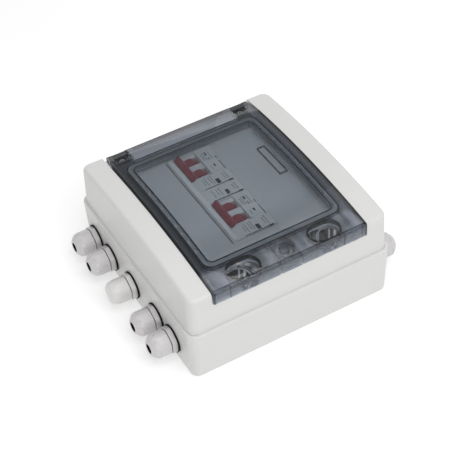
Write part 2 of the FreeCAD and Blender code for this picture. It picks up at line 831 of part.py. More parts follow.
def screw(x, y, seat_z, tip_z, shank_radius, head_radius, head_height):
    """Round-headed screw with a cross recess, pointing down."""
    head = rod(x, y, seat_z, seat_z + head_height, head_radius)
    head = head.makeFillet(head_height * 0.4, edges_near_z(head, seat_z + head_height))
    body = joined([head, rod(x, y, tip_z, seat_z, shank_radius)])
    top = seat_z + head_height
    long_half = cross_recess_length / 2
    thin_half = cross_recess_width / 2
    recess = [box(x - long_half, x + long_half, y - thin_half, y + thin_half, top - cross_recess_depth, top + 1),
              box(x - thin_half, x + thin_half, y - long_half, y + long_half, top - cross_recess_depth, top + 1)]
    return cut_away(body, recess)


def cover_screws():
    """Four screws that hold the cover to the base, two of them through the hinge blocks."""
    return Part.makeCompound([screw(x, y, seat_z, cover_screw_tip_z, cover_screw_radius,
                                    cover_screw_head_radius, cover_screw_head_height)
                              for x, y, seat_z in cover_screw_places()])


def din_rail():
    """Top-hat rail with slots."""
    web_z = rail_face_z - rail_height
    half = rail_width / 2
    channel = rail_channel / 2
    points = [(-half, rail_face_z), (-half, rail_face_z - rail_gauge),
              (-channel, rail_face_z - rail_gauge), (-channel, web_z), (channel, web_z),
              (channel, rail_face_z - rail_gauge), (half, rail_face_z - rail_gauge), (half, rail_face_z),
              (channel - rail_gauge, rail_face_z), (channel - rail_gauge, web_z + rail_gauge),
              (rail_gauge - channel, web_z + rail_gauge), (rail_gauge - channel, rail_face_z)]
    centre = (rail_screw_left + rail_screw_right) / 2
    rail = prism_along_x([(row_y + py, pz) for py, pz in points], rail_left, rail_right)
    holes = []
    slot_count = int((rail_screw_right - rail_screw_left - rail_slot_length) / rail_slot_pitch)
    for index in range(slot_count):
        x = centre + (index - (slot_count - 1) / 2) * rail_slot_pitch
        holes.append(rounded_block(rail_slot_length / 2, rail_slot_width / 2, rail_slot_width / 2,
                                   web_z - 1, web_z + rail_gauge + 1, x, row_y))
    for x in rail_screw_places():
        holes.append(rod(x, row_y, web_z - 1, web_z + rail_gauge + 1, rail_screw_radius + rail_hole_slack))
    return cut_away(rail, holes)


def din_rail_screws():
    """Two screws that hold the rail to its pillars."""
    seat_z = rail_face_z - rail_height + rail_gauge
    tip_z = rail_face_z - rail_height - rail_screw_depth
    return Part.makeCompound([screw(x, row_y, seat_z, tip_z, rail_screw_radius, rail_screw_head_radius,
                                    rail_screw_head_height) for x in rail_screw_places()])


def device_profile(x0, x1):
    """Side outline of a rail device, carried across its width."""
    half = device_half
    lip_z = rail_face_z - rail_gauge - rail_slack
    hook_y = rail_width / 2 + rail_slack
    points = [(-half, device_back_z), (-half, device_body_z), (device_end_step - half, shoulder_z), (-nose_half, shoulder_z),
              (-nose_half, nose_slope_z)]
    tail = [(nose_half - 1, nose_z), (nose_half, nose_z - 1), (nose_half, shoulder_z),
            (half - device_end_step, shoulder_z), (half, device_body_z), (half, device_back_z),
            (hook_y - hook_overlap, device_back_z), (hook_y - hook_overlap, lip_z), (hook_y, lip_z),
            (hook_y, rail_face_z), (-hook_y, rail_face_z), (-hook_y, device_back_z)]
    start = [Vector(x0, row_y + py, pz) for py, pz in points]
    end = [Vector(x0, row_y + py, pz) for py, pz in tail]
    slope_end = Vector(x0, row_y + nose_slope_y, nose_z)
    middle_y = (nose_slope_y - nose_half) / 2
    middle = Vector(x0, row_y + middle_y, (nose_z + nose_slope_z) / 2 + 0.6)
    edges = [Part.makeLine(start[i], start[i + 1]) for i in range(len(start) - 1)]
    edges.append(Part.Arc(start[-1], middle, slope_end).toShape())
    edges.append(Part.makeLine(slope_end, end[0]))
    edges += [Part.makeLine(end[i], end[i + 1]) for i in range(len(end) - 1)]
    edges.append(Part.makeLine(end[-1], start[0]))
    return Part.Face(Part.Wire(edges)).extrude(Vector(x1 - x0, 0, 0))


def nose_edge_cuts(x0, x1):
    """Bevels along both sides of a device's nose."""
    cuts = []
    for x, inward in ((x0, 1), (x1, -1)):
        low = nose_z - 1.4 * nose_edge_cut
        cuts.append(prism_along_y([(x - inward, nose_z + 0.7), (x + inward * nose_edge_cut, nose_z + 0.7),
                                   (x + inward * nose_edge_cut, nose_z), (x, low), (x - inward, low)],
                                  row_y - nose_half - 1, row_y + nose_half + 1))
    return cuts


def module_groove(x):
    """Groove across a device's nose where two of its modules meet."""
    deep = nose_z - module_groove_depth
    points = [(row_y - nose_half - 1, nose_slope_z - 2 * module_groove_depth), (row_y + nose_slope_y, deep),
              (row_y + nose_half + 1, deep), (row_y + nose_half + 1, nose_z + 1),
              (row_y - nose_half - 1, nose_z + 1)]
    return prism_along_x(points, x - module_groove_width / 2, x + module_groove_width / 2)


def terminal_places(x0, count):
    """X and Y of the terminal screws of a device that is count modules wide."""
    places = []
    for index in range(count):
        x = x0 + (index + 0.5) * module_width
        places += [(x, row_y - terminal_y), (x, row_y + terminal_y)]
    return places


def device_body(x0, count):
    """Moulded case of a rail device, without its front openings."""
    left = x0 + device_gap / 2
    right = x0 + count * module_width - device_gap / 2
    body = device_profile(left, right)
    cuts = nose_edge_cuts(left, right)
    for x, y in terminal_places(x0, count):
        cuts.append(rod(x, y, terminal_screw_z, shoulder_z + 1, terminal_hole_radius))
        side = 1 if y > row_y else -1
        low, high = sorted((row_y + side * (device_half - wire_hole_depth), row_y + side * (device_half + 1)))
        cuts.append(box(x - wire_hole_width / 2, x + wire_hole_width / 2, low, high, wire_hole_floor_z,
                        wire_hole_floor_z + wire_hole_height))
    for index in range(1, count):
        cuts.append(module_groove(x0 + index * module_width))
    middle = (left + right) / 2
    cuts.append(box(middle - clip_width / 2 - clip_side_slack, middle + clip_width / 2 + clip_side_slack,
                    row_y - device_half - 1, row_y - rail_width / 2, device_back_z - 1,
                    device_back_z + clip_thickness + 2 * clip_side_slack))
    return cut_away(body, cuts)


def lever_openings(x0):
    """Scoop, drum rooms and axle bore for a lever pair."""
    centre = x0 + lever_centre
    pivot_y = row_y + lever_y
    scoop = box(centre - scoop_length / 2, centre + scoop_length / 2, row_y + scoop_low_y,
                row_y + scoop_high_y, scoop_z, nose_z + 2)
    cuts = [scoop]
    room_half = lever_width / 2 + lever_side_slack
    rise = scoop_z - lever_z
    lean = math.radians(lever_on_angle)
    high_y = pivot_y + rise * math.tan(lean) + lever_handle_thickness / 2 / math.cos(lean) + lever_side_slack
    high_y = max(high_y, pivot_y + lever_drum_radius + lever_side_slack)
    for side in (-1, 1):
        x = centre + side * lever_spacing / 2
        room = rod_x(x - room_half, x + room_half, pivot_y, lever_z, lever_cavity_radius)
        limit = box(x - room_half - 1, x + room_half + 1, pivot_y - lever_cavity_radius - 1, high_y,
                    lever_z - lever_cavity_radius - 1, nose_z + 2)
        cuts.append(room.common(limit))
    axle_half = lever_spacing / 2 + lever_width / 2 + 3.4
    cuts.append(rod_x(centre - axle_half, centre + axle_half, pivot_y, lever_z,
                      lever_axle_radius + lever_axle_play))
    return cuts


def push_hole(x, y):
    """Hole for a push button in a device's nose."""
    half_length = button_length / 2 + button_slack
    half_width = button_width / 2 + button_slack
    low = nose_z + button_proud - button_depth - button_travel - 0.4
    return box(x - half_length, x + half_length, row_y + y - half_width, row_y + y + half_width,
               low, nose_z + 2)


def breaker_body(x0):
    """Case of a two-pole breaker with its side module."""
    return cut_away(device_body(x0, breaker_module_count), lever_openings(x0) + [push_hole(x0 + button_x, button_y)])


def lever_pair(x0):
    """Two toggles, their axle and the bar that ties their tips."""
    centre = x0 + lever_centre
    pivot = Vector(centre, row_y + lever_y, lever_z)
    pieces = []
    for side in (-1, 1):
        x = centre + side * lever_spacing / 2
        low, high = x - lever_width / 2, x + lever_width / 2
        pieces.append(rod_x(low, high, pivot.y, pivot.z, lever_drum_radius))
        pieces.append(box(low, high, pivot.y - lever_handle_thickness / 2,
                          pivot.y + lever_handle_thickness / 2, pivot.z, pivot.z + lever_tip_radius - 1))
    bar = box(centre - lever_bar_length / 2, centre + lever_bar_length / 2,
              pivot.y - lever_bar_thickness / 2, pivot.y + lever_bar_thickness / 2,
              pivot.z + lever_bar_inner, pivot.z + lever_tip_radius)
    top = pivot.z + lever_tip_radius
    bar = bar.makeFillet(1.2, [edge for edge in edges_near_z(bar, top)])
    pieces.append(bar)
    axle_half = lever_spacing / 2 + lever_width / 2 + 3.0
    pieces.append(rod_x(centre - axle_half, centre + axle_half, pivot.y, pivot.z, lever_axle_radius))
    pair = joined(pieces)
    pair.rotate(pivot, Vector(1, 0, 0), lever_rest_angle)
    return pair


def push_button(x0):
    """Push button beside the levers."""
    x = x0 + button_x
    y = row_y + button_y
    top = nose_z + button_proud
    cap = box(x - button_length / 2, x + button_length / 2, y - button_width / 2, y + button_width / 2,
              top - button_depth, top)
    return cap.makeFillet(0.4, edges_near_z(cap, top))


def lamp_body(x0):
    """Case of the single indicator module."""
    x = x0 + lamp_x
    y = row_y + button_y
    window = box(x - button_length / 2, x + button_length / 2, y - button_width / 2,
                 y + button_width / 2, nose_z - 2, nose_z + 2)
    return device_body(x0, indicator_module_count).cut(window)


def lamp_lens(x0):
    """Dark lens of the indicator module."""
    x = x0 + lamp_x
    y = row_y + button_y
    top = nose_z + lamp_proud
    lens = box(x - button_length / 2, x + button_length / 2, y - button_width / 2, y + button_width / 2,
               nose_z - 2, top)
    return lens.makeFillet(0.25, edges_near_z(lens, top))


def rail_clip(x0, count):
    """Sliding clip that holds a device on the rail."""
    middle = x0 + count * module_width / 2
    low_y = row_y - device_half - clip_tail
    high_y = row_y - rail_width / 2 + clip_overlap
    z0 = device_back_z + clip_side_slack
    plate = box(middle - clip_width / 2, middle + clip_width / 2, low_y, high_y, z0, z0 + clip_thickness)
    pull = box(middle - clip_width / 4, middle + clip_width / 4, low_y + 1.2, low_y + 3.2, z0 - 1,
               z0 + clip_thickness + 1)
    return plate.cut(pull)


def device_starts():
    """Left side of the two breakers and of the indicator between them."""
    lamp = row_left + breaker_module_count * module_width
    return row_left, lamp, lamp + indicator_module_count * module_width


def terminal_screws():
    """Terminal screws of all three devices."""
    first, lamp, second = device_starts()
    places = (terminal_places(first, breaker_module_count) + terminal_places(lamp, indicator_module_count)
              + terminal_places(second, breaker_module_count))
    screws = []
    top = terminal_screw_z + terminal_screw_height
    for x, y in places:
        body = rod(x, y, terminal_screw_z, top, terminal_screw_radius)
        groove = box(x - terminal_screw_radius, x + terminal_screw_radius, y - terminal_slot_width / 2,
                     y + terminal_slot_width / 2, top - terminal_slot_depth, top + 1)
        screws.append(body.cut(groove))
    return Part.makeCompound(screws)


def blanking_strip():
    """Snap-in strip that closes the free way beside the second breaker."""
    left = row_left + (module_count - spare_module_count) * module_width + blank_gap
    right = row_x + slot_half_x - blank_gap
    plug = box(left, right, row_y - nose_half, row_y + nose_half, panel_z - panel_thickness,
               panel_z + blank_flange_thickness)
    flange = box(left, right, row_y - slot_half_y - blank_flange, row_y + slot_half_y + blank_flange,
                 panel_z, panel_z + blank_flange_thickness)
    return joined([plug, flange])


def link_bar(module, z):
    """Copper bar from one pole of the first breaker to the same pole of the second."""
    first, lamp, second = device_starts()
    poles = [first + (module + 0.5) * module_width, second + (module + 0.5) * module_width]
    y0 = row_y + link_bar_y
    strip = box(poles[0] - link_prong_width / 2, poles[1] + link_prong_width / 2, y0,
                y0 + link_bar_thickness, z, z + link_bar_height)
    prongs = [box(x - link_prong_width / 2, x + link_prong_width / 2, row_y + link_prong_end_y, y0 + 0.5,
                  z, z + link_bar_thickness) for x in poles]
    return joined([strip] + prongs)


def link_levels():
    """Height of the lower and upper link bar."""
    lower = wire_hole_floor_z
    return lower, lower + link_bar_height + link_gap


def link_carrier():
    """Insulating strip behind both link bars, with a fin between them."""
    first, lamp, second = device_starts()
    lower, upper = link_levels()
    left = first + 0.5 * module_width - link_prong_width / 2 - link_carrier_margin
    right = second + 1.5 * module_width + link_prong_width / 2 + link_carrier_margin
    y0 = row_y + link_bar_y + link_bar_thickness
    back = box(left, right, y0, y0 + link_carrier_wall, lower - link_carrier_margin,
               upper + link_bar_height + link_carrier_margin)
    fin = box(left, right, y0 - link_bar_thickness, y0 + 0.5, lower + link_bar_height,
              lower + link_bar_height + link_gap)
    return joined([back, fin])


def earth_bar():
    """Brass bar with wire holes and clamp-screw holes."""
    half = earth_bar_length / 2
    side = earth_bar_size / 2
    bar = box(earth_bar_x - half, earth_bar_x + half, earth_bar_y - side, earth_bar_y + side,
              earth_bar_z, earth_bar_z + earth_bar_size)
    cuts = []
    for x in earth_screw_places():
        cuts.append(rod_y(x, earth_bar_y - side - 1, earth_bar_y + side + 1,
                          earth_bar_z + earth_wire_hole_radius + 0.8, earth_wire_hole_radius))
        cuts.append(rod(x, earth_bar_y, earth_bar_z + side, earth_bar_z + earth_bar_size + 1,
                        earth_screw_radius))
    return cut_away(bar, cuts)


def earth_screw_places():
    """X of the clamp screws of the earth bar."""
    first = earth_bar_x - (earth_screw_count - 1) * earth_screw_pitch / 2
    return [first + index * earth_screw_pitch for index in range(earth_screw_count)]


def earth_bar_screws():
    """Clamp screws of the earth bar."""
    top = earth_bar_z + earth_bar_size
    tip = earth_bar_z + earth_bar_size / 2
    screws = []
    for x in earth_screw_places():
        body = joined([rod(x, earth_bar_y, tip, top, earth_screw_radius),
                       rod(x, earth_bar_y, top, top + earth_screw_head_height, earth_screw_head_radius)])
        groove = box(x - earth_screw_head_radius, x + earth_screw_head_radius,
                     earth_bar_y - terminal_slot_width / 2, earth_bar_y + terminal_slot_width / 2,
                     top + earth_screw_head_height - terminal_slot_depth, far_above)
        screws.append(body.cut(groove))
    return Part.makeCompound(screws)


def earth_bar_holder():
    """Pair of insulating feet that carry the earth bar on the floor."""
    feet = []
    outer = earth_bar_size / 2 + earth_holder_wall
    for side in (-1, 1):
        end = earth_bar_x + side * (earth_bar_length - earth_holder_length) / 2
        foot = box(end - earth_holder_length / 2, end + earth_holder_length / 2, earth_bar_y - outer,
                   earth_bar_y + outer, floor_thickness, earth_bar_z + earth_bar_size / 2)
        seat = box(end - earth_holder_length, end + earth_holder_length,
                   earth_bar_y - earth_bar_size / 2, earth_bar_y + earth_bar_size / 2, earth_bar_z,
                   earth_bar_z + earth_bar_size)
        feet.append(foot.cut(seat))
    return Part.makeCompound(feet)


def hexagon(y0, y1, flats, corner_radius_limit):
    """Six-sided block along Y around the gland axis, with its corners turned round."""
    corners = []
    for index in range(6):
        angle = math.radians(60 * index + 30)
        reach = flats / 2 / math.cos(math.radians(30))
        corners.append(Vector(reach * math.cos(angle), y0, reach * math.sin(angle)))
    block = Part.Face(Part.makePolygon(corners + corners[:1])).extrude(Vector(0, y1 - y0, 0))
    return block.common(rod_y(0, y0, y1, 0, corner_radius_limit))


def turned(points):
    """Solid of revolution about Y from (radius, y) points."""
    corners = [Vector(radius, y, 0) for radius, y in points]
    face = Part.Face(Part.makePolygon(corners + corners[:1]))
    return face.revolve(Vector(0, 0, 0), Vector(0, 1, 0), 360)


def gland_body():
    """Threaded body of a gland on the +Y side of its pad, with the pad face at Y = 0."""
    flange_start = gland_washer_thickness
    flange_end = flange_start + gland_flange_thickness
    inner = gland_pad_y - gland_pad_inner_y
    tail = -(inner + gland_locknut_thickness + gland_tail)
    flange = hexagon(flange_start, flange_end, gland_flats, gland_corner_radius)
    thread = rod_y(0, tail, flange_start, 0, gland_thread_radius)
    neck = rod_y(0, flange_end, flange_end + gland_neck_length, 0, gland_neck_radius)
    body = joined([flange, thread, neck])
    return body.cut(rod_y(0, tail - 1, flange_end + gland_neck_length + 1, 0, gland_bore_radius))


def gland_nut(blind):
    """Dome nut of a gland, closed at its tip if blind."""
    start = gland_washer_thickness + gland_flange_thickness + gland_nut_gap
    end = start + gland_nut_length
    straight = start + gland_nut_length * 0.54
    nose = gland_blind_nose_radius if blind else gland_nut_nose_radius
    base = Vector(gland_nut_radius, start, 0)
    side = Vector(gland_nut_radius, straight, 0)
    bend = Vector(gland_nut_radius - 0.9, start + gland_nut_length * 0.77, 0)
    lip = Vector(nose, end - gland_nose_edge, 0)
    tip = Vector(nose - gland_nose_edge, end, 0)
    edges = [Part.makeLine(Vector(0, start, 0), base), Part.makeLine(base, side),
             Part.Arc(side, bend, lip).toShape(), Part.makeLine(lip, tip),
             Part.makeLine(tip, Vector(0, end, 0)), Part.makeLine(Vector(0, end, 0), Vector(0, start, 0))]
    dome = Part.Face(Part.Wire(edges)).revolve(Vector(0, 0, 0), Vector(0, 1, 0), 360)
    flats = hexagon(start, straight + 2, 2 * gland_nut_flat_radius, gland_nut_radius + 1)
    above = rod_y(0, straight + 2, end + 1, 0, gland_nut_radius + 1)
    dome = dome.common(joined([flats, above]))
    neck_end = start - gland_nut_gap + gland_neck_length
    room = turned([(0, start - 1), (gland_neck_radius, start - 1), (gland_neck_radius, neck_end),
                   (gland_nut_mouth_radius + 1.5, end - gland_nut_wall), (0, end - gland_nut_wall)])
    nut = dome.cut(room)
    if blind:
        return nut
    return nut.cut(rod_y(0, start, end + 1, 0, gland_nut_mouth_radius))


def gland_seal(blind):
    """Rubber insert between body and nut, solid if blind."""
    start = gland_washer_thickness + gland_flange_thickness + gland_nut_gap
    end = start + gland_nut_length
    neck_end = start - gland_nut_gap + gland_neck_length
    ring = turned([(0, neck_end - 4), (gland_bore_radius, neck_end - 4), (gland_bore_radius, neck_end),
                   (gland_neck_radius - gland_seal_slack, neck_end),
                   (gland_nut_mouth_radius + 1.5 - gland_seal_slack, end - gland_nut_wall),
                   (0, end - gland_nut_wall)])
    if blind:
        return ring
    return ring.cut(rod_y(0, neck_end - 5, end + 1, 0, gland_seal_bore_radius))


def gland_washer():
    """Rubber washer between a gland and the wall."""
    disc = rod_y(0, 0, gland_washer_thickness, 0, gland_washer_radius)
    return disc.cut(rod_y(0, -1, gland_washer_thickness + 1, 0, gland_thread_radius))


def gland_locknut():
    """Nut inside the wall that holds a gland."""
    inner = gland_pad_y - gland_pad_inner_y
    block = hexagon(-inner - gland_locknut_thickness, -inner, gland_flats, gland_corner_radius)
    return block.cut(rod_y(0, -inner - gland_locknut_thickness - 1, -inner + 1, 0, gland_thread_radius))


def on_wall(shape, x, side):
    """Puts a gland part, made with its pad face at Y = 0, on the -Y or +Y wall."""
    placed = shape.copy()
    if side < 0:
        placed.rotate(Vector(0, 0, 0), Vector(0, 0, 1), 180)
    placed.translate(Vector(x, side * gland_pad_y, gland_z))
    return placed


def save(name, shape):
    """Writes one node."""
    shape.exportStep("parts/" + name + ".step")


def save_glands():
    """Writes the parts of the six glands."""
    for number, (x, side) in enumerate(gland_places(), start=1):
        blind = number == blind_gland
        save("gland_body_%d" % number, on_wall(gland_body(), x, side))
        save("gland_nut_%d" % number, on_wall(gland_nut(blind), x, side))
        save("gland_seal_%d" % number, on_wall(gland_seal(blind), x, side))
    for name, shape in (("gland_washers", gland_washer()), ("gland_locknuts", gland_locknut())):
        save(name, Part.makeCompound([on_wall(shape, x, side) for x, side in gland_places()]))


def save_devices():
    """Writes the breakers, the indicator and what holds them."""
    first, lamp, second = device_starts()
    for number, start in ((1, first), (2, second)):
        save("breaker_body_%d" % number, breaker_body(start))
        save("breaker_lever_%d" % number, lever_pair(start))
        save("breaker_button_%d" % number, push_button(start))
        save("breaker_clip_%d" % number, rail_clip(start, breaker_module_count))
    save("indicator_body", lamp_body(lamp))
    save("indicator_lens", lamp_lens(lamp))
    save("indicator_clip", rail_clip(lamp, indicator_module_count))
    save("terminal_screws", terminal_screws())
    save("blanking_strip", blanking_strip())
    save("din_rail", din_rail())
    save("din_rail_screws", din_rail_screws())
    lower, upper = link_levels()
    save("link_bar_lower", link_bar(0, lower))
    save("link_bar_upper", link_bar(1, upper))
    save("link_bar_carrier", link_carrier())


def save_casing():
    """Writes the casing, the door and the hinge."""
    save("base_housing", base_housing())
    save("cover_housing", cover_housing())
    save("cover_gasket", cover_gasket())
    save("cover_screws", cover_screws())
    save("window_door", window_door())
    save("door_gasket", door_gasket())
    block = hinge_block()
    pin = hinge_pin()
    save("hinge_block_upper", block)
    save("hinge_block_lower", mirrored_y(block))
    save("hinge_pin_upper", pin)
    save("hinge_pin_lower", mirrored_y(pin))
    save("earth_bar", earth_bar())
    save("earth_bar_holder", earth_bar_holder())
    save("earth_bar_screws", earth_bar_screws())


os.makedirs("parts", exist_ok=True)
save_casing()
save_devices()
save_glands()
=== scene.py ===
"""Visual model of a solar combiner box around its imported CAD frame.

The CAD nodes stay where they are. Curved nodes are shown by merged, smoothly shaded copies, small moulded
and printed details are added on top, and a light studio is set up in front of a matched camera.
"""

from __future__ import annotations

import json
import logging
import math
from dataclasses import dataclass, replace
from enum import Enum
from functools import reduce
from typing import Callable, Iterable, Union

import bmesh
import bpy
from mathutils import Matrix, Vector

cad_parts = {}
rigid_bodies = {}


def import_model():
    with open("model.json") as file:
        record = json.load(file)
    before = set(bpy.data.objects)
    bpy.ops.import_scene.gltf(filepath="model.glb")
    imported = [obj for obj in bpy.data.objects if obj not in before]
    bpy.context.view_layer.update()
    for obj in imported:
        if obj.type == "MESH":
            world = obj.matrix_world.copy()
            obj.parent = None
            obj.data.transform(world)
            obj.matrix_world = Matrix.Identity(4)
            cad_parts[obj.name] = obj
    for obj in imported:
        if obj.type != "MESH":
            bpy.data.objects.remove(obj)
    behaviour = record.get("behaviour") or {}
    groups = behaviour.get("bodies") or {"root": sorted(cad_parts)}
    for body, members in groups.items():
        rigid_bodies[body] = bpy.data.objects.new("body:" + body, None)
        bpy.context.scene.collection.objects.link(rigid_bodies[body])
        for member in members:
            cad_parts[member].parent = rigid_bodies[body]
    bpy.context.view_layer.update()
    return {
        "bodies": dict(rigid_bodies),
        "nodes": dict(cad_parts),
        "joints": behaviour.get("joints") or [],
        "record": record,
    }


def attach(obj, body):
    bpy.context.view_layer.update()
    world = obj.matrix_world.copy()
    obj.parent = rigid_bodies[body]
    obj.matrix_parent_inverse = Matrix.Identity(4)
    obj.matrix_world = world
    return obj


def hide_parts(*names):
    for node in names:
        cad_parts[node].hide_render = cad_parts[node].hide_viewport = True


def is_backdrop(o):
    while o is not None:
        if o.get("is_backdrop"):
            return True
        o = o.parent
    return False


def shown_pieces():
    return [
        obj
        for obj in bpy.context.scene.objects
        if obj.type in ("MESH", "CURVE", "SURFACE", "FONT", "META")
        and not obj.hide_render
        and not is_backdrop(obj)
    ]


LOG = logging.getLogger("combiner_box")
MM = 0.001
Colour = tuple[float, float, float]
Span = tuple[float, float]
Band = tuple[float, float, float]
Scale = tuple[float, float, float]
Sockets = tuple[tuple[str, str], ...]
Value = Union["bpy.types.NodeSocket", float]


def mm(*values: float) -> Vector:
    """Converts millimetres to metres.

    Args:
        values: Coordinates in millimetres.

    Returns:
        The same coordinates in metres.
    """
    return Vector(value * MM for value in values)


class Texture(Enum):
    """Fine relief that a finish can carry."""

    NONE = "none"
    MOULDED = "moulded"
    BRUSHED = "brushed"


@dataclass(frozen=True)
class Finish:
    """How one material looks.

    Attributes:
        name: Name of the material.
        colour: Base colour, linear.
        rough: Roughness.
        metallic: Metallic share.
        coat: Weight of a clear coat.
        texture: Kind of fine relief.
        relief: Strength of the relief.
        grain: Size of the relief in millimetres.
        mottle: Variation of colour and roughness over the surface.
        edge: Radius in millimetres of the rounding that shading adds to sharp edges.
        holes: Whether the deep holes of the cover get painted shade and painted highlights.
        gloss: Specular level.
    """

    name: str
    colour: Colour
    rough: float = 0.4
    metallic: float = 0.0
    coat: float = 0.0
    texture: Texture = Texture.NONE
    relief: float = 0.0
    grain: float = 1.0
    mottle: float = 0.0
    edge: float = 0.0
    holes: bool = False
    gloss: float = 0.5


@dataclass(frozen=True)
class ClearFinish:
    """A clear, tinted plastic.

    Attributes:
        name: Name of the material.
        tint: Colour that deep layers of it take on.
        density: Absorption per metre.
        rough: Roughness.
        ior: Index of refraction.
    """

    name: str
    tint: Colour
    density: float
    rough: float
    ior: float


CASING = Finish("casing", (0.655, 0.655, 0.642), 0.36, texture=Texture.MOULDED, relief=0.05, grain=0.7,
                mottle=0.015)
# The cover's casing gets painted shade and painted highlights in its deep holes.
COVER = replace(CASING, name="cover_casing", holes=True)
SMOKE = ClearFinish("smoke", (0.28, 0.34, 0.41), 420.0, 0.02, 1.5)
DOOR_SEAL = Finish("door_seal", (0.40, 0.41, 0.42), 0.6, texture=Texture.MOULDED, relief=0.05, grain=0.5)
SEAL = Finish("seal_rubber", (0.006, 0.006, 0.007), 0.62, texture=Texture.MOULDED, relief=0.08, grain=0.5,
              gloss=0.15)
HINGE = Finish("hinge_plastic", (0.035, 0.037, 0.042), 0.38, texture=Texture.MOULDED, relief=0.06, grain=0.5,
               edge=0.3)
CLIP = replace(HINGE, name="clip_plastic", colour=(0.05, 0.05, 0.055), rough=0.45)
CARRIER = replace(HINGE, name="carrier_plastic", colour=(0.12, 0.125, 0.13), rough=0.42)
DEVICE = Finish("device_plastic", (0.74, 0.735, 0.70), 0.42, texture=Texture.MOULDED, relief=0.06, grain=0.6,
                edge=0.35)
# Painted highlight along the -Y edge of the noses, where their lower slope catches the light
NOSE_HIGHLIGHT = replace(DEVICE, name="painted_nose_highlight", colour=(0.83, 0.82, 0.775), edge=0.0)
LEVER = Finish("lever_red", (0.33, 0.022, 0.040), 0.30, coat=0.2, edge=0.5)
DARK_PART = Finish("dark_plastic", (0.018, 0.020, 0.024), 0.26, coat=0.2, edge=0.3)
GLAND = Finish("gland_plastic", (0.59, 0.572, 0.585), 0.30, texture=Texture.MOULDED, relief=0.05, grain=0.5,
               edge=0.25)
BLIND_GLAND = replace(GLAND, name="blind_gland_plastic", colour=(0.69, 0.682, 0.668), edge=0.4)
SCREW_STEEL = Finish("screw_steel", (0.36, 0.36, 0.37), 0.22, 1.0, edge=0.4)
STEEL = Finish("zinc_steel", (0.55, 0.56, 0.58), 0.34, 1.0, texture=Texture.BRUSHED, relief=0.05, grain=0.6,
               mottle=0.05)
RAIL = Finish("rail_steel", (0.60, 0.61, 0.62), 0.30, 1.0, texture=Texture.BRUSHED, relief=0.08, grain=0.4,
              mottle=0.06)
COPPER = Finish("copper", (0.80, 0.36, 0.22), 0.28, 1.0, texture=Texture.BRUSHED, relief=0.05, grain=0.5,
                mottle=0.08)
BRASS = replace(COPPER, name="brass", colour=(0.78, 0.56, 0.24))
# Ink of the print, also used as painted shade in the gaps between the devices
INK_AND_GAP_SHADE = Finish("ink_and_gap_shade", (0.05, 0.052, 0.058), 0.6)
FAINT_INK = Finish("faint_ink", (0.21, 0.22, 0.23), 0.6)


@dataclass(frozen=True)
class BoxSizes:
    """Sizes of the CAD part that shading and details refer to, in millimetres.

    Attributes:
        row_x: Middle of the row of devices.
        row_y: Middle of the rail.
        row_left: Left side of the first device.
        module: Width of one module.
        nose_z: Height of the noses of the devices.
        panel_z: Height of the panel.
        nose_half: Half the height of a nose along Y.
        seal_half: Half sizes of the seal channel of the door.
        seal_radius: Corner radius of that channel.
        door_half_y: Half the height of the door along Y.
        lip_x: Outer face of the door's lip.
        door_left: Outer end of the door at the hinge.
        band_x: Inner end of the raised band at the hinge.
        band_half_y: Half the length of that band.
        frame_at: Middle of the name frame.
        frame_half: Half sizes of the name frame.
        frame_line: Width of its lines.
        pit_at: Middle of the pit on the +Y side.
        pit_half: Half sizes of a pit.
        well_at: Place of the cover screw in that pit.
        well_radius: Radius of the hole above that screw.
        well_top: Height where that hole starts.
        tray_z: Lowest height of the tray under the door at the latch.
        gland_x: Place along X and side along Y of each open gland.
        blind_x: The same for the blind gland.
        gland_z: Height of the glands.
    """

    row_x: float = 1.5
    row_y: float = -6.2
    row_left: float = -70.5
    module: float = 18.0
    nose_z: float = 89.5
    panel_z: float = 86.5
    nose_half: float = 22.8
    seal_half: Span = (79.4, 70.5)
    seal_radius: float = 10.0
    door_half_y: float = 79.0
    lip_x: float = 107.0
    door_left: float = -100.6
    band_x: float = -79.4
    band_half_y: float = 55.6
    frame_at: Span = (-7.3, 49.6)
    frame_half: Span = (21.2, 4.3)
    frame_line: float = 0.9
    pit_at: Span = (93.6, 41.5)
    pit_half: Span = (10.6, 16.0)
    well_at: Span = (93.6, 46.9)
    well_radius: float = 10.2
    well_top: float = 86.4
    tray_z: float = 90.0
    gland_x: tuple[tuple[float, int], ...] = ((-81.2, -1), (-50.3, -1), (40.0, -1), (71.0, -1), (76.5, 1))
    blind_x: tuple[float, int] = (-7.1, -1)
    gland_z: float = 22.6


SIZES = BoxSizes()


@dataclass(frozen=True)
class Waves:
    """Size and detail of a noise.

    Attributes:
        scale: Waves per metre along X, Y and Z.
        detail: Number of finer layers.
    """

    scale: Scale
    detail: float


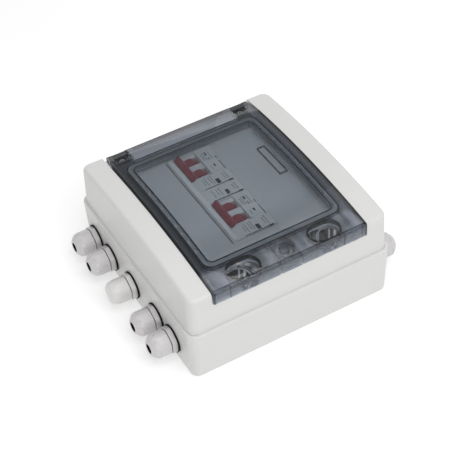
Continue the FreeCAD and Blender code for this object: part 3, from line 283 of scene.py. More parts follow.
class Formula:
    """Writes arithmetic on sockets as math nodes of one tree."""

    def __init__(self, tree: bpy.types.NodeTree) -> None:
        """Works in the given tree."""
        self._tree = tree

    def math(self, operation: str, *values: Value) -> bpy.types.NodeSocket:
        """One math node.

        Args:
            operation: Operation of the node.
            values: Its inputs, as sockets or numbers.

        Returns:
            Its result.
        """
        node = self._tree.nodes.new("ShaderNodeMath")
        node.operation = operation
        for socket, value in zip(node.inputs, values):
            if isinstance(value, bpy.types.NodeSocket):
                self._tree.links.new(value, socket)
            else:
                socket.default_value = value
        return node.outputs["Value"]

    def times(self, *values: Value) -> Value:
        """Product of the values."""
        return reduce(lambda done, value: self.math("MULTIPLY", done, value), values)

    def most(self, *values: Value) -> Value:
        """Largest of the values."""
        return reduce(lambda done, value: self.math("MAXIMUM", done, value), values)

    def plus(self, first: Value, second: Value) -> bpy.types.NodeSocket:
        """Sum of two values."""
        return self.math("ADD", first, second)

    def minus(self, first: Value, second: Value) -> bpy.types.NodeSocket:
        """First value less the second."""
        return self.math("SUBTRACT", first, second)

    def rest(self, value: Value) -> bpy.types.NodeSocket:
        """What a value leaves of 1."""
        return self.minus(1.0, value)

    def unsigned(self, value: Value) -> bpy.types.NodeSocket:
        """A value without its sign."""
        return self.math("ABSOLUTE", value)

    def rise(self, base: float, mask: Value, more: float) -> bpy.types.NodeSocket:
        """A base value, and more of it where a mask is 1."""
        return self.plus(base, self.times(mask, more))

    def step(self, value: Value, low: float, high: float) -> bpy.types.NodeSocket:
        """Smooth step from 0 at low to 1 at high.

        Args:
            value: What is compared.
            low: Start of the step.
            high: End of the step.

        Returns:
            The step.
        """
        node = self._tree.nodes.new("ShaderNodeMapRange")
        node.interpolation_type = "SMOOTHSTEP"
        self._tree.links.new(value, node.inputs["Value"])
        node.inputs["From Min"].default_value = low
        node.inputs["From Max"].default_value = high
        return node.outputs["Result"]

    def less(self, value: Value, limit: float, soft: float) -> bpy.types.NodeSocket:
        """1 below a limit and 0 above it, with a step of twice the soft width."""
        return self.rest(self.step(value, limit - soft, limit + soft))

    def band(self, value: Value, low: float, high: float, soft: float) -> Value:
        """1 between two limits and 0 elsewhere, with steps of twice the soft width."""
        return self.times(self.step(value, low - soft, low + soft), self.less(value, high, soft))

    def noise(self, vector: bpy.types.NodeSocket, waves: Waves) -> bpy.types.NodeSocket:
        """Noise with its own scale along each axis.

        Args:
            vector: Place in metres.
            waves: Size and detail of the noise.

        Returns:
            Its value, around 0.5.
        """
        mapping = self._tree.nodes.new("ShaderNodeMapping")
        mapping.inputs["Scale"].default_value = waves.scale
        node = self._tree.nodes.new("ShaderNodeTexNoise")
        node.inputs["Scale"].default_value = 1.0
        node.inputs["Detail"].default_value = waves.detail
        self._tree.links.new(vector, mapping.inputs["Vector"])
        self._tree.links.new(mapping.outputs["Vector"], node.inputs["Vector"])
        return node.outputs["Fac"]

    def scaled(self, colour: bpy.types.NodeSocket | Colour, factor: Value) -> bpy.types.NodeSocket:
        """A colour times a factor.

        Args:
            colour: The colour, as a socket or as numbers.
            factor: The factor.

        Returns:
            The scaled colour.
        """
        node = self._tree.nodes.new("ShaderNodeVectorMath")
        node.operation = "SCALE"
        if isinstance(colour, bpy.types.NodeSocket):
            self._tree.links.new(colour, node.inputs[0])
        else:
            node.inputs[0].default_value = colour
        self._tree.links.new(factor, node.inputs["Scale"])
        return node.outputs["Vector"]

    def split_mm(self, vector: bpy.types.NodeSocket) -> list[bpy.types.NodeSocket]:
        """Coordinates of a vector in millimetres.

        Args:
            vector: Vector in metres.

        Returns:
            Its three coordinates.
        """
        node = self._tree.nodes.new("ShaderNodeSeparateXYZ")
        self._tree.links.new(vector, node.inputs["Vector"])
        return [self.math("DIVIDE", output, MM) for output in node.outputs]

    def rounded_box(self, x: Value, y: Value, at: Span, half: Span, radius: float) -> bpy.types.NodeSocket:
        """Distance from a rounded rectangle, negative inside.

        Args:
            x: First coordinate.
            y: Second coordinate.
            at: Middle of the rectangle.
            half: Its half sizes.
            radius: Its corner radius.

        Returns:
            The distance.
        """
        reach = [self.minus(self.unsigned(self.minus(value, middle)), size - radius)
                 for value, middle, size in zip((x, y), at, half)]
        outside = [self.math("POWER", self.most(value, 0.0), 2.0) for value in reach]
        corner = self.math("SQRT", self.plus(*outside))
        inside = self.math("MINIMUM", self.most(*reach), 0.0)
        return self.minus(self.plus(corner, inside), radius)


class Group:
    """A shader node group with named inputs and outputs."""

    def __init__(self, name: str, takes: Sockets, gives: Sockets) -> None:
        """Makes the empty group.

        Args:
            name: Its name.
            takes: Name and kind of each input.
            gives: Name and kind of each output.
        """
        self.tree = bpy.data.node_groups.new(name, "ShaderNodeTree")
        for side, sockets in (("INPUT", takes), ("OUTPUT", gives)):
            for label, kind in sockets:
                self.tree.interface.new_socket(label, in_out=side, socket_type="NodeSocket" + kind)
        self.form = Formula(self.tree)
        self._start = self.tree.nodes.new("NodeGroupInput")
        self._end = self.tree.nodes.new("NodeGroupOutput")

    def given(self, label: str) -> bpy.types.NodeSocket:
        """What comes in at an input."""
        return self._start.outputs[label]

    def give(self, label: str, value: bpy.types.NodeSocket) -> None:
        """Sends a value to an output."""
        self.tree.links.new(value, self._end.inputs[label])


@dataclass(frozen=True)
class Relief:
    """Fine bumps of a surface.

    Attributes:
        texture: Kind of the bumps.
        brush: Stretch of brushed lines along X, Y and Z.
        detail: Number of finer layers.
        keep: Share that each finer layer keeps.
    """

    texture: Texture
    brush: Scale = (0.06, 1.0, 1.0)
    detail: float = 3.0
    keep: float = 0.6

    def build(self) -> Group:
        """Builds the group.

        Returns:
            The group, with inputs Vector and Grain and output Height.
        """
        group = Group("relief_" + self.texture.value, (("Vector", "Vector"), ("Grain", "Float")),
                      (("Height", "Float"),))
        links = group.tree.links
        vector = group.given("Vector")
        if self.texture is Texture.BRUSHED:
            stretch = group.tree.nodes.new("ShaderNodeMapping")
            stretch.inputs["Scale"].default_value = self.brush
            links.new(vector, stretch.inputs["Vector"])
            vector = stretch.outputs["Vector"]
        noise = group.tree.nodes.new("ShaderNodeTexNoise")
        noise.inputs["Detail"].default_value = self.detail
        noise.inputs["Roughness"].default_value = self.keep
        links.new(vector, noise.inputs["Vector"])
        links.new(group.form.math("DIVIDE", 1.0 / MM, group.given("Grain")), noise.inputs["Scale"])
        group.give("Height", noise.outputs["Fac"])
        return group


@dataclass(frozen=True)
class Mottle:
    """Slow variation of colour and roughness over a surface.

    Attributes:
        waves: Waves per metre.
        detail: Number of finer layers.
        colour_swing: How much more the colour varies than the roughness.
    """

    waves: float = 60.0
    detail: float = 4.0
    colour_swing: float = 2.0

    def build(self) -> Group:
        """Builds the group.

        Returns:
            The group, with inputs Vector, Color, Roughness and Amount and outputs Color and Roughness.
        """
        group = Group("mottle",
                      (("Vector", "Vector"), ("Color", "Color"), ("Roughness", "Float"), ("Amount", "Float")),
                      (("Color", "Color"), ("Roughness", "Float")))
        form = group.form
        noise = group.tree.nodes.new("ShaderNodeTexNoise")
        noise.inputs["Scale"].default_value = self.waves
        noise.inputs["Detail"].default_value = self.detail
        group.tree.links.new(group.given("Vector"), noise.inputs["Vector"])
        swing = form.times(form.minus(noise.outputs["Fac"], 0.5), group.given("Amount"))
        group.give("Color", form.scaled(group.given("Color"), form.rise(1.0, swing, self.colour_swing)))
        rough = form.plus(group.given("Roughness"), swing)
        rough.node.use_clamp = True
        group.give("Roughness", rough)
        return group


@dataclass(frozen=True)
class PaintedHoleLight:
    """Painted shade in the pits and wells of the cover at the latch, and painted highlights in the wells.

    Distances are in millimetres from the edge of a hole or pit, negative inside. Turns are in radians.

    Attributes:
        rim: Painted highlight around a well.
        far_ring: Ring of darker painted shade on the floor of a pit.
        near_well: Reach and softness of the painted shade around a well.
        floor_shade: Painted shade of the floor of a pit.
        near_dark: What the painted shade near a well adds to it.
        ring_dark: What the ring of painted shade adds to it.
        rim_light: What the painted highlight of the rim takes off it.
        pit_edge: Edge of the painted shade of a pit.
        well_edge: Edge of the painted shade and highlights of a well.
        soft_z: Softness of the upper end of both.
        gleams: Stretches of the turn around a well that get a painted highlight.
        well_shade: Painted shade of the wall of a well.
        smooth: Share of the roughness that the wall of a well loses.
        metallic: Metallic share of the wall of a well.
        gleam_light: Glow of the painted highlights.
    """

    rim: Band = (0.3, 1.5, 0.2)
    far_ring: Band = (4.6, 6.2, 0.5)
    near_well: Span = (8.0, 7.0)
    floor_shade: float = 0.5
    near_dark: float = 0.3
    ring_dark: float = 0.25
    rim_light: float = 0.75
    pit_edge: Span = (0.4, 0.2)
    well_edge: Span = (0.3, 0.1)
    soft_z: float = 0.1
    gleams: tuple[Band, ...] = ((1.90, 2.15, 0.12), (2.50, 2.62, 0.08))
    well_shade: float = 0.72
    smooth: float = 0.6
    metallic: float = 0.5
    gleam_light: float = 0.5

    def build(self) -> Group:
        """Builds the group.

        Returns:
            The group, with inputs Vector, Color and Roughness and outputs Color, Roughness, Metallic and
            Emission.
        """
        group = Group("painted_hole_light",
                      (("Vector", "Vector"), ("Color", "Color"), ("Roughness", "Float")),
                      (("Color", "Color"), ("Roughness", "Float"), ("Metallic", "Float"),
                       ("Emission", "Color")))
        form = group.form
        x, y, z = form.split_mm(group.given("Vector"))
        far_y = form.unsigned(y)
        radius = SIZES.well_radius
        hole = form.rounded_box(x, far_y, SIZES.well_at, (radius, radius), radius)
        pit = form.rounded_box(x, far_y, SIZES.pit_at, SIZES.pit_half, SIZES.pit_half[0])
        in_pit = form.times(form.less(pit, *self.pit_edge), form.less(z, SIZES.tray_z, self.soft_z))
        in_well = form.times(form.less(hole, *self.well_edge), form.less(z, SIZES.well_top, self.soft_z))
        off_x, off_y = (form.minus(value, at) for value, at in zip((x, far_y), SIZES.well_at))
        turn = form.unsigned(form.math("ARCTAN2", off_y, off_x))
        # Painted highlights and shade in the wells, painted shade on the pit floors, painted highlight at
        # each well's rim
        gleam = form.times(form.most(*(form.band(turn, *stretch) for stretch in self.gleams)), in_well)
        floor = form.rise(self.floor_shade, form.less(hole, *self.near_well), self.near_dark)
        rings = form.minus(form.times(form.band(hole, *self.far_ring), self.ring_dark),
                           form.times(form.band(hole, *self.rim), self.rim_light))
        shaded_well = form.times(in_well, form.rise(self.well_shade, gleam, -self.well_shade))
        kept = form.times(form.rest(form.times(in_pit, form.plus(floor, rings))), form.rest(shaded_well))
        group.give("Color", form.scaled(group.given("Color"), kept))
        group.give("Roughness", form.times(group.given("Roughness"), form.rise(1.0, in_well, -self.smooth)))
        group.give("Metallic", form.times(in_well, self.metallic))
        group.give("Emission", form.times(gleam, self.gleam_light))
        return group


@dataclass(frozen=True)
class Stripe:
    """A straight stripe of painted shade where a rib shows through the door.

    Attributes:
        at: Its middle in millimetres.
        width: Its width in millimetres.
        dark: How dark its painted shade is.
    """

    at: float
    width: float
    dark: float


@dataclass(frozen=True)
class DoorDark:
    """How dark the painted shade of each line and zone of the door is, as a share of 1.

    Attributes:
        pane: Latch side of the inner pane.
        side: Lines along the sides.
        lip: Line at the lip.
        frame: Lines of the name frame.
        pit: Line around a pit.
        ears: Ear at the hinge.
        band: Raised band.
        channel: Line of the seal channel.
        rib: Rib inside the channel.
        fold: Fold at the raised band.
        rear: Line at the hinge end.
        tab: Sides of the finger tab.
        ticks: Ticks on the lip.
    """

    pane: float = 0.12
    side: float = 0.88
    lip: float = 0.8
    frame: float = 0.9
    pit: float = 0.93
    ears: float = 0.6
    band: float = 0.16
    channel: float = 0.72
    rib: float = 0.45
    fold: float = 0.78
    rear: float = 0.85
    tab: float = 0.55
    ticks: float = 0.6


@dataclass(frozen=True)
class PaintedDoorLight:
    """Painted shade on border, lines, ribs and name frame of the clear door, painted reflections, slight
    waves.

    Places are in millimetres along X or Y, or from the edge of the seal channel, a pit or the name frame,
    negative inside. A band has its two ends and the softness of both, and a span the ends of a soft step.
    Amounts of painted shade and of painted reflection are shares of 1.

    Attributes:
        dark: How dark the painted shade of the lines and zones is.
        lip_edge: Where the plate ends, from the outer face of the lip, and the softness of that.
        border_edge: Where the border starts outside the channel.
        border_dark: Painted shade of the border.
        border_fade: Stretch along Y over which the border gets lighter.
        border_light: How much lighter it gets.
        pit_edge: Where the border ends at a pit.
        band_soft: Softness of the edges of the raised band.
        latch_edge: Where the latch side of the border starts.
        patch_lift: How much lighter patches lift the painted shade of the latch side.
        patch_noise: Noise of those patches.
        patch_span: Values of the noise where they start and end.
        pane: End of the inner pane inside the channel, and its softness.
        pane_fade: Stretch along X over which the painted shade of that pane grows.
        side_line: Painted shade line along the sides, from the outer edge.
        lip_line: Painted shade line at the lip, from its outer face.
        pit_line: Dark line around a pit.
        channel_line: Dark line of the seal channel.
        rib_line: Painted shade line where a rib inside that channel shows through.
        frame_radius: Corner radius of the name frame.
        frame_soft: Softness of its lines.
        ears_x: Inner end of the ears at the hinge, and its softness.
        ears_y: Stretch along Y over which the ear starts.
        fold_half: Half the width of the fold at the raised band.
        line_soft: Softness of the fold and of the ticks.
        rear_line: Width of the dark line at the hinge end, and its softness.
        tab_lines: Sides of the finger tab.
        ticks: Places of the short marks on the lip.
        tick_half: Half the width of a tick.
        hinge_ribs: Painted shade stripes where ribs beside the raised band show through, along Y.
        hinge_rib_soft: Their softness.
        far_ribs: Painted shade stripes where ribs on the +Y side show through, along X.
        far_rib_soft: Their softness.
        ribs_along: How far ribs and fold reach past the band, and the softness of that.
        ribs_across: Ends of the far ribs, from the band and the channel, and their softness.
        lip_face: Where the lip starts, from its outer face.
        streak_noise: Noise of the streaks of see-through and painted reflection in the lip.
        streak_span: Values of the noise where they start and end.
        lip_thin: How much the lip lets through, without and with a streak.
        wave_noise: Noise of the slight waves.
        wave_height: Height of the waves, on the plate and more of it at the latch.
        rough: Roughness, on the plate and more of it at the latch.
        reflection_noise: Noise of the painted reflections at the latch.
        reflection_span: Values of the noise where it starts and ends.
        latch_reflection: Painted reflection at the latch, without and with a patch of it.
        reflection_pit: Where the painted reflection starts at a pit.
        boss_y: Middle of the spot of the finger tab without painted reflection.
        boss_radius: Its radius.
        boss_edge: Where the painted reflection starts around it.
        lip_reflection: Painted reflection of the lip, without and with a streak.
        far_edge: Where the painted reflection of the far border starts.
        far_reflection: Painted reflection of that border.
        band_reflection: Painted reflection of the raised band, and how it changes toward +Y.
        band_fade: Stretch along Y of that change.
        near_line: Painted highlight line along the -Y side.
        near_reflection: Glow of that painted highlight.
        reflection_colour: Colour of all painted reflections.
    """

    dark: DoorDark = DoorDark()
    lip_edge: Span = (2.5, 0.5)
    border_edge: Span = (0.2, 1.4)
    border_dark: float = 0.36
    border_fade: Span = (50.0, 70.0)
    border_light: float = 0.20
    pit_edge: Span = (-0.4, 0.8)
    band_soft: float = 1.0
    latch_edge: Span = (78.0, 86.0)
    patch_lift: float = 0.75
    patch_noise: Waves = Waves((70.0, 45.0, 45.0), 2.0)
    patch_span: Span = (0.40, 0.62)
    pane: Span = (-9.5, 0.7)
    pane_fade: Span = (35.0, 60.0)
    side_line: Span = (2.8, 1.6)
    lip_line: Band = (3.7, 2.3, 0.3)
    pit_line: Band = (-1.3, 0.4, 0.25)
    channel_line: Band = (-0.75, 0.15, 0.25)
    rib_line: Band = (-5.3, -4.3, 0.3)
    frame_radius: float = 0.6
    frame_soft: float = 0.1
    ears_x: Span = (-86.0, 2.0)
    ears_y: Span = (71.5, 73.0)
    fold_half: float = 0.5
    line_soft: float = 0.25
    rear_line: Span = (2.0, 0.4)
    tab_lines: tuple[Band, ...] = ((10.5, 11.4, 0.25), (-10.0, -9.1, 0.25))
    ticks: tuple[float, ...] = (-62.0, -11.4, 10.9, 54.9, 73.6)
    tick_half: float = 0.6
    hinge_ribs: tuple[Stripe, ...] = (
        Stripe(-73.8, 1.0, 0.2), Stripe(-69.0, 2.6, 0.2), Stripe(-61.9, 2.2, 0.45))
    hinge_rib_soft: float = 0.5
    far_ribs: tuple[Stripe, ...] = (
        Stripe(73.0, 1.1, 0.5), Stripe(68.6, 1.5, 0.4), Stripe(65.6, 0.9, 0.35), Stripe(61.5, 1.2, 0.35))
    far_rib_soft: float = 0.35
    ribs_along: Span = (4.0, 1.5)
    ribs_across: Band = (4.0, 6.0, 2.0)
    lip_face: Span = (2.2, 1.6)
    streak_noise: Waves = Waves((20.0, 170.0, 20.0), 3.0)
    streak_span: Span = (0.3, 0.7)
    lip_thin: Span = (0.15, 0.35)
    wave_noise: Waves = Waves((60.0, 50.0, 50.0), 1.0)
    wave_height: Span = (0.06, 0.94)
    rough: Span = (0.02, 0.14)
    reflection_noise: Waves = Waves((32.0, 105.0, 40.0), 3.0)
    reflection_span: Span = (0.38, 0.66)
    latch_reflection: Span = (0.016, 0.13)
    reflection_pit: Span = (0.2, 1.0)
    boss_y: float = 3.0
    boss_radius: float = 7.5
    boss_edge: Span = (-1.0, 1.5)
    lip_reflection: Span = (0.055, 0.09)
    far_edge: Span = (68.0, 71.0)
    far_reflection: float = 0.055
    band_reflection: Span = (0.085, -0.05)
    band_fade: Span = (5.0, 50.0)
    near_line: Band = (-77.2, -76.2, 0.3)
    near_reflection: float = 0.07
    reflection_colour: Colour = (0.92, 0.94, 1.06)

    def build(self) -> Group:
        """Builds the group.

        Returns:
            The group, with input Vector and outputs Color (painted shade), Alpha, Height, Roughness and
            Emission (painted reflections).
        """
        group = Group("painted_door_light", (("Vector", "Vector"),),
                      (("Color", "Color"), ("Alpha", "Float"), ("Height", "Float"), ("Roughness", "Float"),
                       ("Emission", "Color")))
        zones = DoorZones(group, self)
        form = group.form
        # Painted shade, given as the colour of the door
        light = self._light(form, zones)
        group.give("Color", light)
        thin = form.times(zones.on_lip, self._rise(form, self.lip_thin, zones.streak))
        group.give("Alpha", form.rest(thin))
        waves = form.noise(zones.place, self.wave_noise)
        group.give("Height", form.times(waves, self._rise(form, self.wave_height, zones.latch)))
        group.give("Roughness", self._rise(form, self.rough, zones.open_latch))
        # Painted reflections, given as glow of the door
        painted_reflection = form.times(self._reflections(form, zones), light)
        group.give("Emission", form.scaled(self.reflection_colour, painted_reflection))
        return group

    def _rise(self, form: Formula, amounts: Span, mask: Value) -> bpy.types.NodeSocket:
        """The first amount, and the second one more of it where a mask is 1."""
        return form.rise(amounts[0], mask, amounts[1])

    def _ribs(self, form: Formula, value: Value, ribs: tuple[Stripe, ...], soft: float) -> Value:
        """Darkness of a row of ribs.

        Args:
            form: Formula of the group.
            value: Coordinate that the ribs are placed along.
            ribs: The ribs.
            soft: Softness of their edges.

        Returns:
            The darkness.
        """
        bands = (form.band(value, rib.at - rib.width / 2, rib.at + rib.width / 2, soft) for rib in ribs)
        return form.most(*(form.times(band, rib.dark) for band, rib in zip(bands, ribs)))

    def _light(self, form: Formula, zones: DoorZones) -> Value:
        """Share of the light that the painted shade of border, lines, ribs and name frame leaves.

        Args:
            form: Formula of the group.
            zones: Zones of the door.

        Returns:
            The share.
        """
        x, y, far_y, ring = zones.x, zones.y, zones.far_y, zones.ring
        along = form.less(far_y, SIZES.band_half_y + self.ribs_along[0], self.ribs_along[1])
        across = form.band(x, SIZES.band_x - self.ribs_across[0], SIZES.seal_half[0] - self.ribs_across[1],
                           self.ribs_across[2])
        fold = form.band(x, SIZES.band_x - self.fold_half, SIZES.band_x + self.fold_half, self.line_soft)
        ticks = form.most(*(form.band(y, at - self.tick_half, at + self.tick_half, self.line_soft)
                            for at in self.ticks))
        tab = form.most(*(form.band(y, *line) for line in self.tab_lines))
        frame = form.rounded_box(x, y, SIZES.frame_at, SIZES.frame_half, self.frame_radius)
        shade = form.rise(self.border_dark, form.step(y, *self.border_fade), -self.border_light)
        sides = (SIZES.door_half_y - inset for inset in self.side_line)
        lip_start, lip_end, lip_soft = self.lip_line
        rear_width, rear_soft = self.rear_line
        masks = (
            (form.times(zones.border, shade), 1.0),
            (form.times(form.less(ring, *self.pane), form.step(x, *self.pane_fade)), self.dark.pane),
            (form.step(far_y, *sides), self.dark.side),
            (form.band(x, SIZES.lip_x - lip_start, SIZES.lip_x - lip_end, lip_soft), self.dark.lip),
            (form.band(frame, -SIZES.frame_line, 0.0, self.frame_soft), self.dark.frame),
            (form.band(zones.pit, *self.pit_line), self.dark.pit),
            (form.times(form.less(x, *self.ears_x), form.step(y, *self.ears_y)), self.dark.ears),
            (zones.on_band, self.dark.band),
            (form.band(ring, *self.channel_line), self.dark.channel),
            (form.band(ring, *self.rib_line), self.dark.rib),
            (form.times(fold, along), self.dark.fold),
            (form.less(x, SIZES.door_left + rear_width, rear_soft), self.dark.rear),
            (form.times(tab, zones.latch, zones.plate), self.dark.tab),
            (form.times(ticks, form.rest(zones.plate)), self.dark.ticks),
            (form.times(self._ribs(form, x, self.hinge_ribs, self.hinge_rib_soft), along), 1.0),
            (form.times(self._ribs(form, y, self.far_ribs, self.far_rib_soft), across), 1.0),
        )
        return form.times(*(form.rest(form.times(mask, dark)) for mask, dark in masks))

    def _reflections(self, form: Formula, zones: DoorZones) -> Value:
        """Painted reflections on latch side, lip, far border and raised band, and a painted highlight line
        along the -Y side.

        Args:
            form: Formula of the group.
            zones: Zones of the door.

        Returns:
            The painted reflections.
        """
        reflection_patch = form.step(form.noise(zones.place, self.reflection_noise), *self.reflection_span)
        radius = self.boss_radius
        boss = form.rounded_box(zones.x, zones.y, (SIZES.pit_at[0], self.boss_y), (radius, radius), radius)
        off_boss = form.step(boss, *self.boss_edge)
        band = self._rise(form, self.band_reflection, form.step(zones.y, *self.band_fade))
        return form.most(
            form.times(zones.open_latch, off_boss, self._rise(form, self.latch_reflection, reflection_patch)),
            form.times(zones.border, form.step(zones.y, *self.far_edge), self.far_reflection),
            form.times(zones.on_lip, self._rise(form, self.lip_reflection, zones.streak)),
            form.times(zones.on_band, band),
            form.times(form.band(zones.y, *self.near_line), self.near_reflection),
        )


class DoorZones:
    """Coordinates and zones of the door that several of its effects use.

    Attributes:
        place: Place in metres.
        x: Place along X in millimetres.
        y: Place along Y in millimetres.
        far_y: Distance from the middle along Y.
        ring: Distance from the edge of the seal channel.
        pit: Distance from the edge of the nearer pit.
        plate: The door without its lip.
        on_band: The raised band at the hinge.
        latch: Latch side of the border.
        open_latch: The same without the pits.
        border: Painted shade zone of the border without band and pits, lifted by lighter patches at the
            latch.
        on_lip: The lip.
        streak: Streaks of see-through and painted reflection in the lip.
    """

    def __init__(self, group: Group, look: PaintedDoorLight) -> None:
        """Works the zones out.

        Args:
            group: Group that they are for.
            look: Its places and amounts.
        """
        form = group.form
        self.place = group.given("Vector")
        self.x, self.y, _ = form.split_mm(self.place)
        self.far_y = form.unsigned(self.y)
        self.ring = form.rounded_box(self.x, self.y, (SIZES.row_x, 0.0), SIZES.seal_half, SIZES.seal_radius)
        self.pit = form.rounded_box(self.x, self.far_y, SIZES.pit_at, SIZES.pit_half, SIZES.pit_half[0])
        self.plate = form.less(self.x, SIZES.lip_x - look.lip_edge[0], look.lip_edge[1])
        self.on_band = form.times(form.less(self.x, SIZES.band_x, look.band_soft),
                                  form.less(self.far_y, SIZES.band_half_y, look.band_soft))
        whole = form.times(form.step(self.ring, *look.border_edge), self.plate)
        self.latch = form.times(whole, form.step(self.x, *look.latch_edge))
        self.open_latch = form.times(self.latch, form.step(self.pit, *look.reflection_pit))
        lit_patch = form.step(form.noise(self.place, look.patch_noise), *look.patch_span)
        self.border = form.times(whole, form.rest(self.on_band), form.step(self.pit, *look.pit_edge),
                                 form.rest(form.times(self.latch, lit_patch, look.patch_lift)))
        self.on_lip = form.step(self.x, *(SIZES.lip_x - inset for inset in look.lip_face))
        self.streak = form.step(form.noise(self.place, look.streak_noise), *look.streak_span)


class Palette:
    """Makes each material and each shared node group once.

    Attributes:
        RELIEF_DEPTH: Height of a full bump of fine relief in millimetres.
        WAVE_DEPTH: Height of a full wave of the door in millimetres.
        COAT_ROUGH: Roughness of every clear coat.
        BEVEL_SAMPLES: Samples for the rounding of sharp edges.
        SHADOW_SHARE: Share of the light that the clear door lets through to what it shades.
    """

    RELIEF_DEPTH = 0.4
    WAVE_DEPTH = 0.5
    COAT_ROUGH = 0.1
    BEVEL_SAMPLES = 4
    SHADOW_SHARE = 0.95

    def __init__(self) -> None:
        """Starts without materials and groups."""
        self._trees: dict[Relief | Mottle | PaintedHoleLight | PaintedDoorLight, bpy.types.NodeTree] = {}
        self._made: dict[str, bpy.types.Material] = {}

    def get(self, finish: Finish | ClearFinish) -> bpy.types.Material:
        """Material for a finish.

        Args:
            finish: The finish.

        Returns:
            Its material.
        """
        if finish.name not in self._made:
            material = bpy.data.materials.new(finish.name)
            material.use_nodes = True
            build = self._clear if isinstance(finish, ClearFinish) else self._solid
            build(material.node_tree, finish)
            self._made[finish.name] = material
        return self._made[finish.name]

    def _effect(self, tree: bpy.types.NodeTree,
                effect: Relief | Mottle | PaintedHoleLight | PaintedDoorLight) -> bpy.types.ShaderNodeGroup:
        """Adds a shared group to a material, fed with object coordinates.

        Args:
            tree: Tree of the material.
            effect: What the group does.

        Returns:
            The node of the group.
        """
        if effect not in self._trees:
            self._trees[effect] = effect.build().tree
        place = tree.nodes.new("ShaderNodeTexCoord")
        node = tree.nodes.new("ShaderNodeGroup")
        node.node_tree = self._trees[effect]
        tree.links.new(place.outputs["Object"], node.inputs["Vector"])
        return node

    def _bump(self, tree: bpy.types.NodeTree, height: bpy.types.NodeSocket, strength: float,
              depth: float) -> bpy.types.ShaderNodeBump:
        """Adds a bump node.

        Args:
            tree: Tree of the material.
            height: Height of the surface.
            strength: Strength of the bump.
            depth: Height of a full bump in millimetres.

        Returns:
            The node.
        """
        bump = tree.nodes.new("ShaderNodeBump")
        bump.inputs["Strength"].default_value = strength
        bump.inputs["Distance"].default_value = depth * MM
        tree.links.new(height, bump.inputs["Height"])
        return bump

    def _solid(self, tree: bpy.types.NodeTree, finish: Finish) -> None:
        """Builds the nodes of a finish that isn't clear.

        Args:
            tree: Tree of the material.
            finish: The finish.
        """
        shader = tree.nodes["Principled BSDF"]
        shader.inputs["Base Color"].default_value = (*finish.colour, 1.0)
        shader.inputs["Roughness"].default_value = finish.rough
        shader.inputs["Metallic"].default_value = finish.metallic
        shader.inputs["Coat Weight"].default_value = finish.coat
        shader.inputs["Coat Roughness"].default_value = self.COAT_ROUGH
        shader.inputs["Specular IOR Level"].default_value = finish.gloss
        if finish.mottle > 0:
            self._colours(tree, finish)
        normal = None
        if finish.edge > 0:
            rounding = tree.nodes.new("ShaderNodeBevel")
            rounding.samples = self.BEVEL_SAMPLES
            rounding.inputs["Radius"].default_value = finish.edge * MM
            normal = rounding.outputs["Normal"]
        if finish.texture is not Texture.NONE:
            relief = self._effect(tree, Relief(finish.texture))
            relief.inputs["Grain"].default_value = finish.grain
            bump = self._bump(tree, relief.outputs["Height"], finish.relief, self.RELIEF_DEPTH)
            if normal is not None:
                tree.links.new(normal, bump.inputs["Normal"])
            normal = bump.outputs["Normal"]
        if normal is not None:
            tree.links.new(normal, shader.inputs["Normal"])

    def _colours(self, tree: bpy.types.NodeTree, finish: Finish) -> None:
        """Adds the mottle of a finish, and the painted shade and highlights of its deep holes where it has
        them.

        Args:
            tree: Tree of the material.
            finish: The finish.
        """
        shader = tree.nodes["Principled BSDF"]
        last = self._effect(tree, Mottle())
        last.inputs["Color"].default_value = (*finish.colour, 1.0)
        last.inputs["Roughness"].default_value = finish.rough
        last.inputs["Amount"].default_value = finish.mottle
        if finish.holes:
            # Painted shade and highlights of the cover's deep holes
            holes = self._effect(tree, PaintedHoleLight())
            for label in ("Color", "Roughness"):
                tree.links.new(last.outputs[label], holes.inputs[label])
            tree.links.new(holes.outputs["Metallic"], shader.inputs["Metallic"])
            tree.links.new(holes.outputs["Emission"], shader.inputs["Emission Color"])
            shader.inputs["Emission Strength"].default_value = 1.0
            last = holes
        tree.links.new(last.outputs["Color"], shader.inputs["Base Color"])
        tree.links.new(last.outputs["Roughness"], shader.inputs["Roughness"])

    def _clear(self, tree: bpy.types.NodeTree, finish: ClearFinish) -> None:
        """Builds the nodes of the clear door: tinted, absorbing and open to shadow rays, with painted shade
        and reflections.

        Args:
            tree: Tree of the material.
            finish: The finish.
        """
        shader = tree.nodes["Principled BSDF"]
        # The door's colour carries painted shade, its emission painted reflections
        tint = self._effect(tree, PaintedDoorLight())
        for given, taken in (("Color", "Base Color"), ("Alpha", "Alpha"), ("Roughness", "Roughness"),
                             ("Emission", "Emission Color")):
            tree.links.new(tint.outputs[given], shader.inputs[taken])
        shader.inputs["Emission Strength"].default_value = 1.0
        bump = self._bump(tree, tint.outputs["Height"], 1.0, self.WAVE_DEPTH)
        tree.links.new(bump.outputs["Normal"], shader.inputs["Normal"])
        shader.inputs["Roughness"].default_value = finish.rough
        shader.inputs["IOR"].default_value = finish.ior
        shader.inputs["Transmission Weight"].default_value = 1.0
        path = tree.nodes.new("ShaderNodeLightPath")
        passing = tree.nodes.new("ShaderNodeBsdfTransparent")
        passing.inputs["Color"].default_value = (self.SHADOW_SHARE, self.SHADOW_SHARE, self.SHADOW_SHARE, 1.0)
        mix = tree.nodes.new("ShaderNodeMixShader")
        tree.links.new(path.outputs["Is Shadow Ray"], mix.inputs["Fac"])
        tree.links.new(shader.outputs["BSDF"], mix.inputs[1])
        tree.links.new(passing.outputs["BSDF"], mix.inputs[2])
        depth = tree.nodes.new("ShaderNodeVolumeAbsorption")
        depth.inputs["Color"].default_value = (*finish.tint, 1.0)
        depth.inputs["Density"].default_value = finish.density
        out = tree.nodes["Material Output"]
        tree.links.new(mix.outputs["Shader"], out.inputs["Surface"])
        tree.links.new(depth.outputs["Volume"], out.inputs["Volume"])


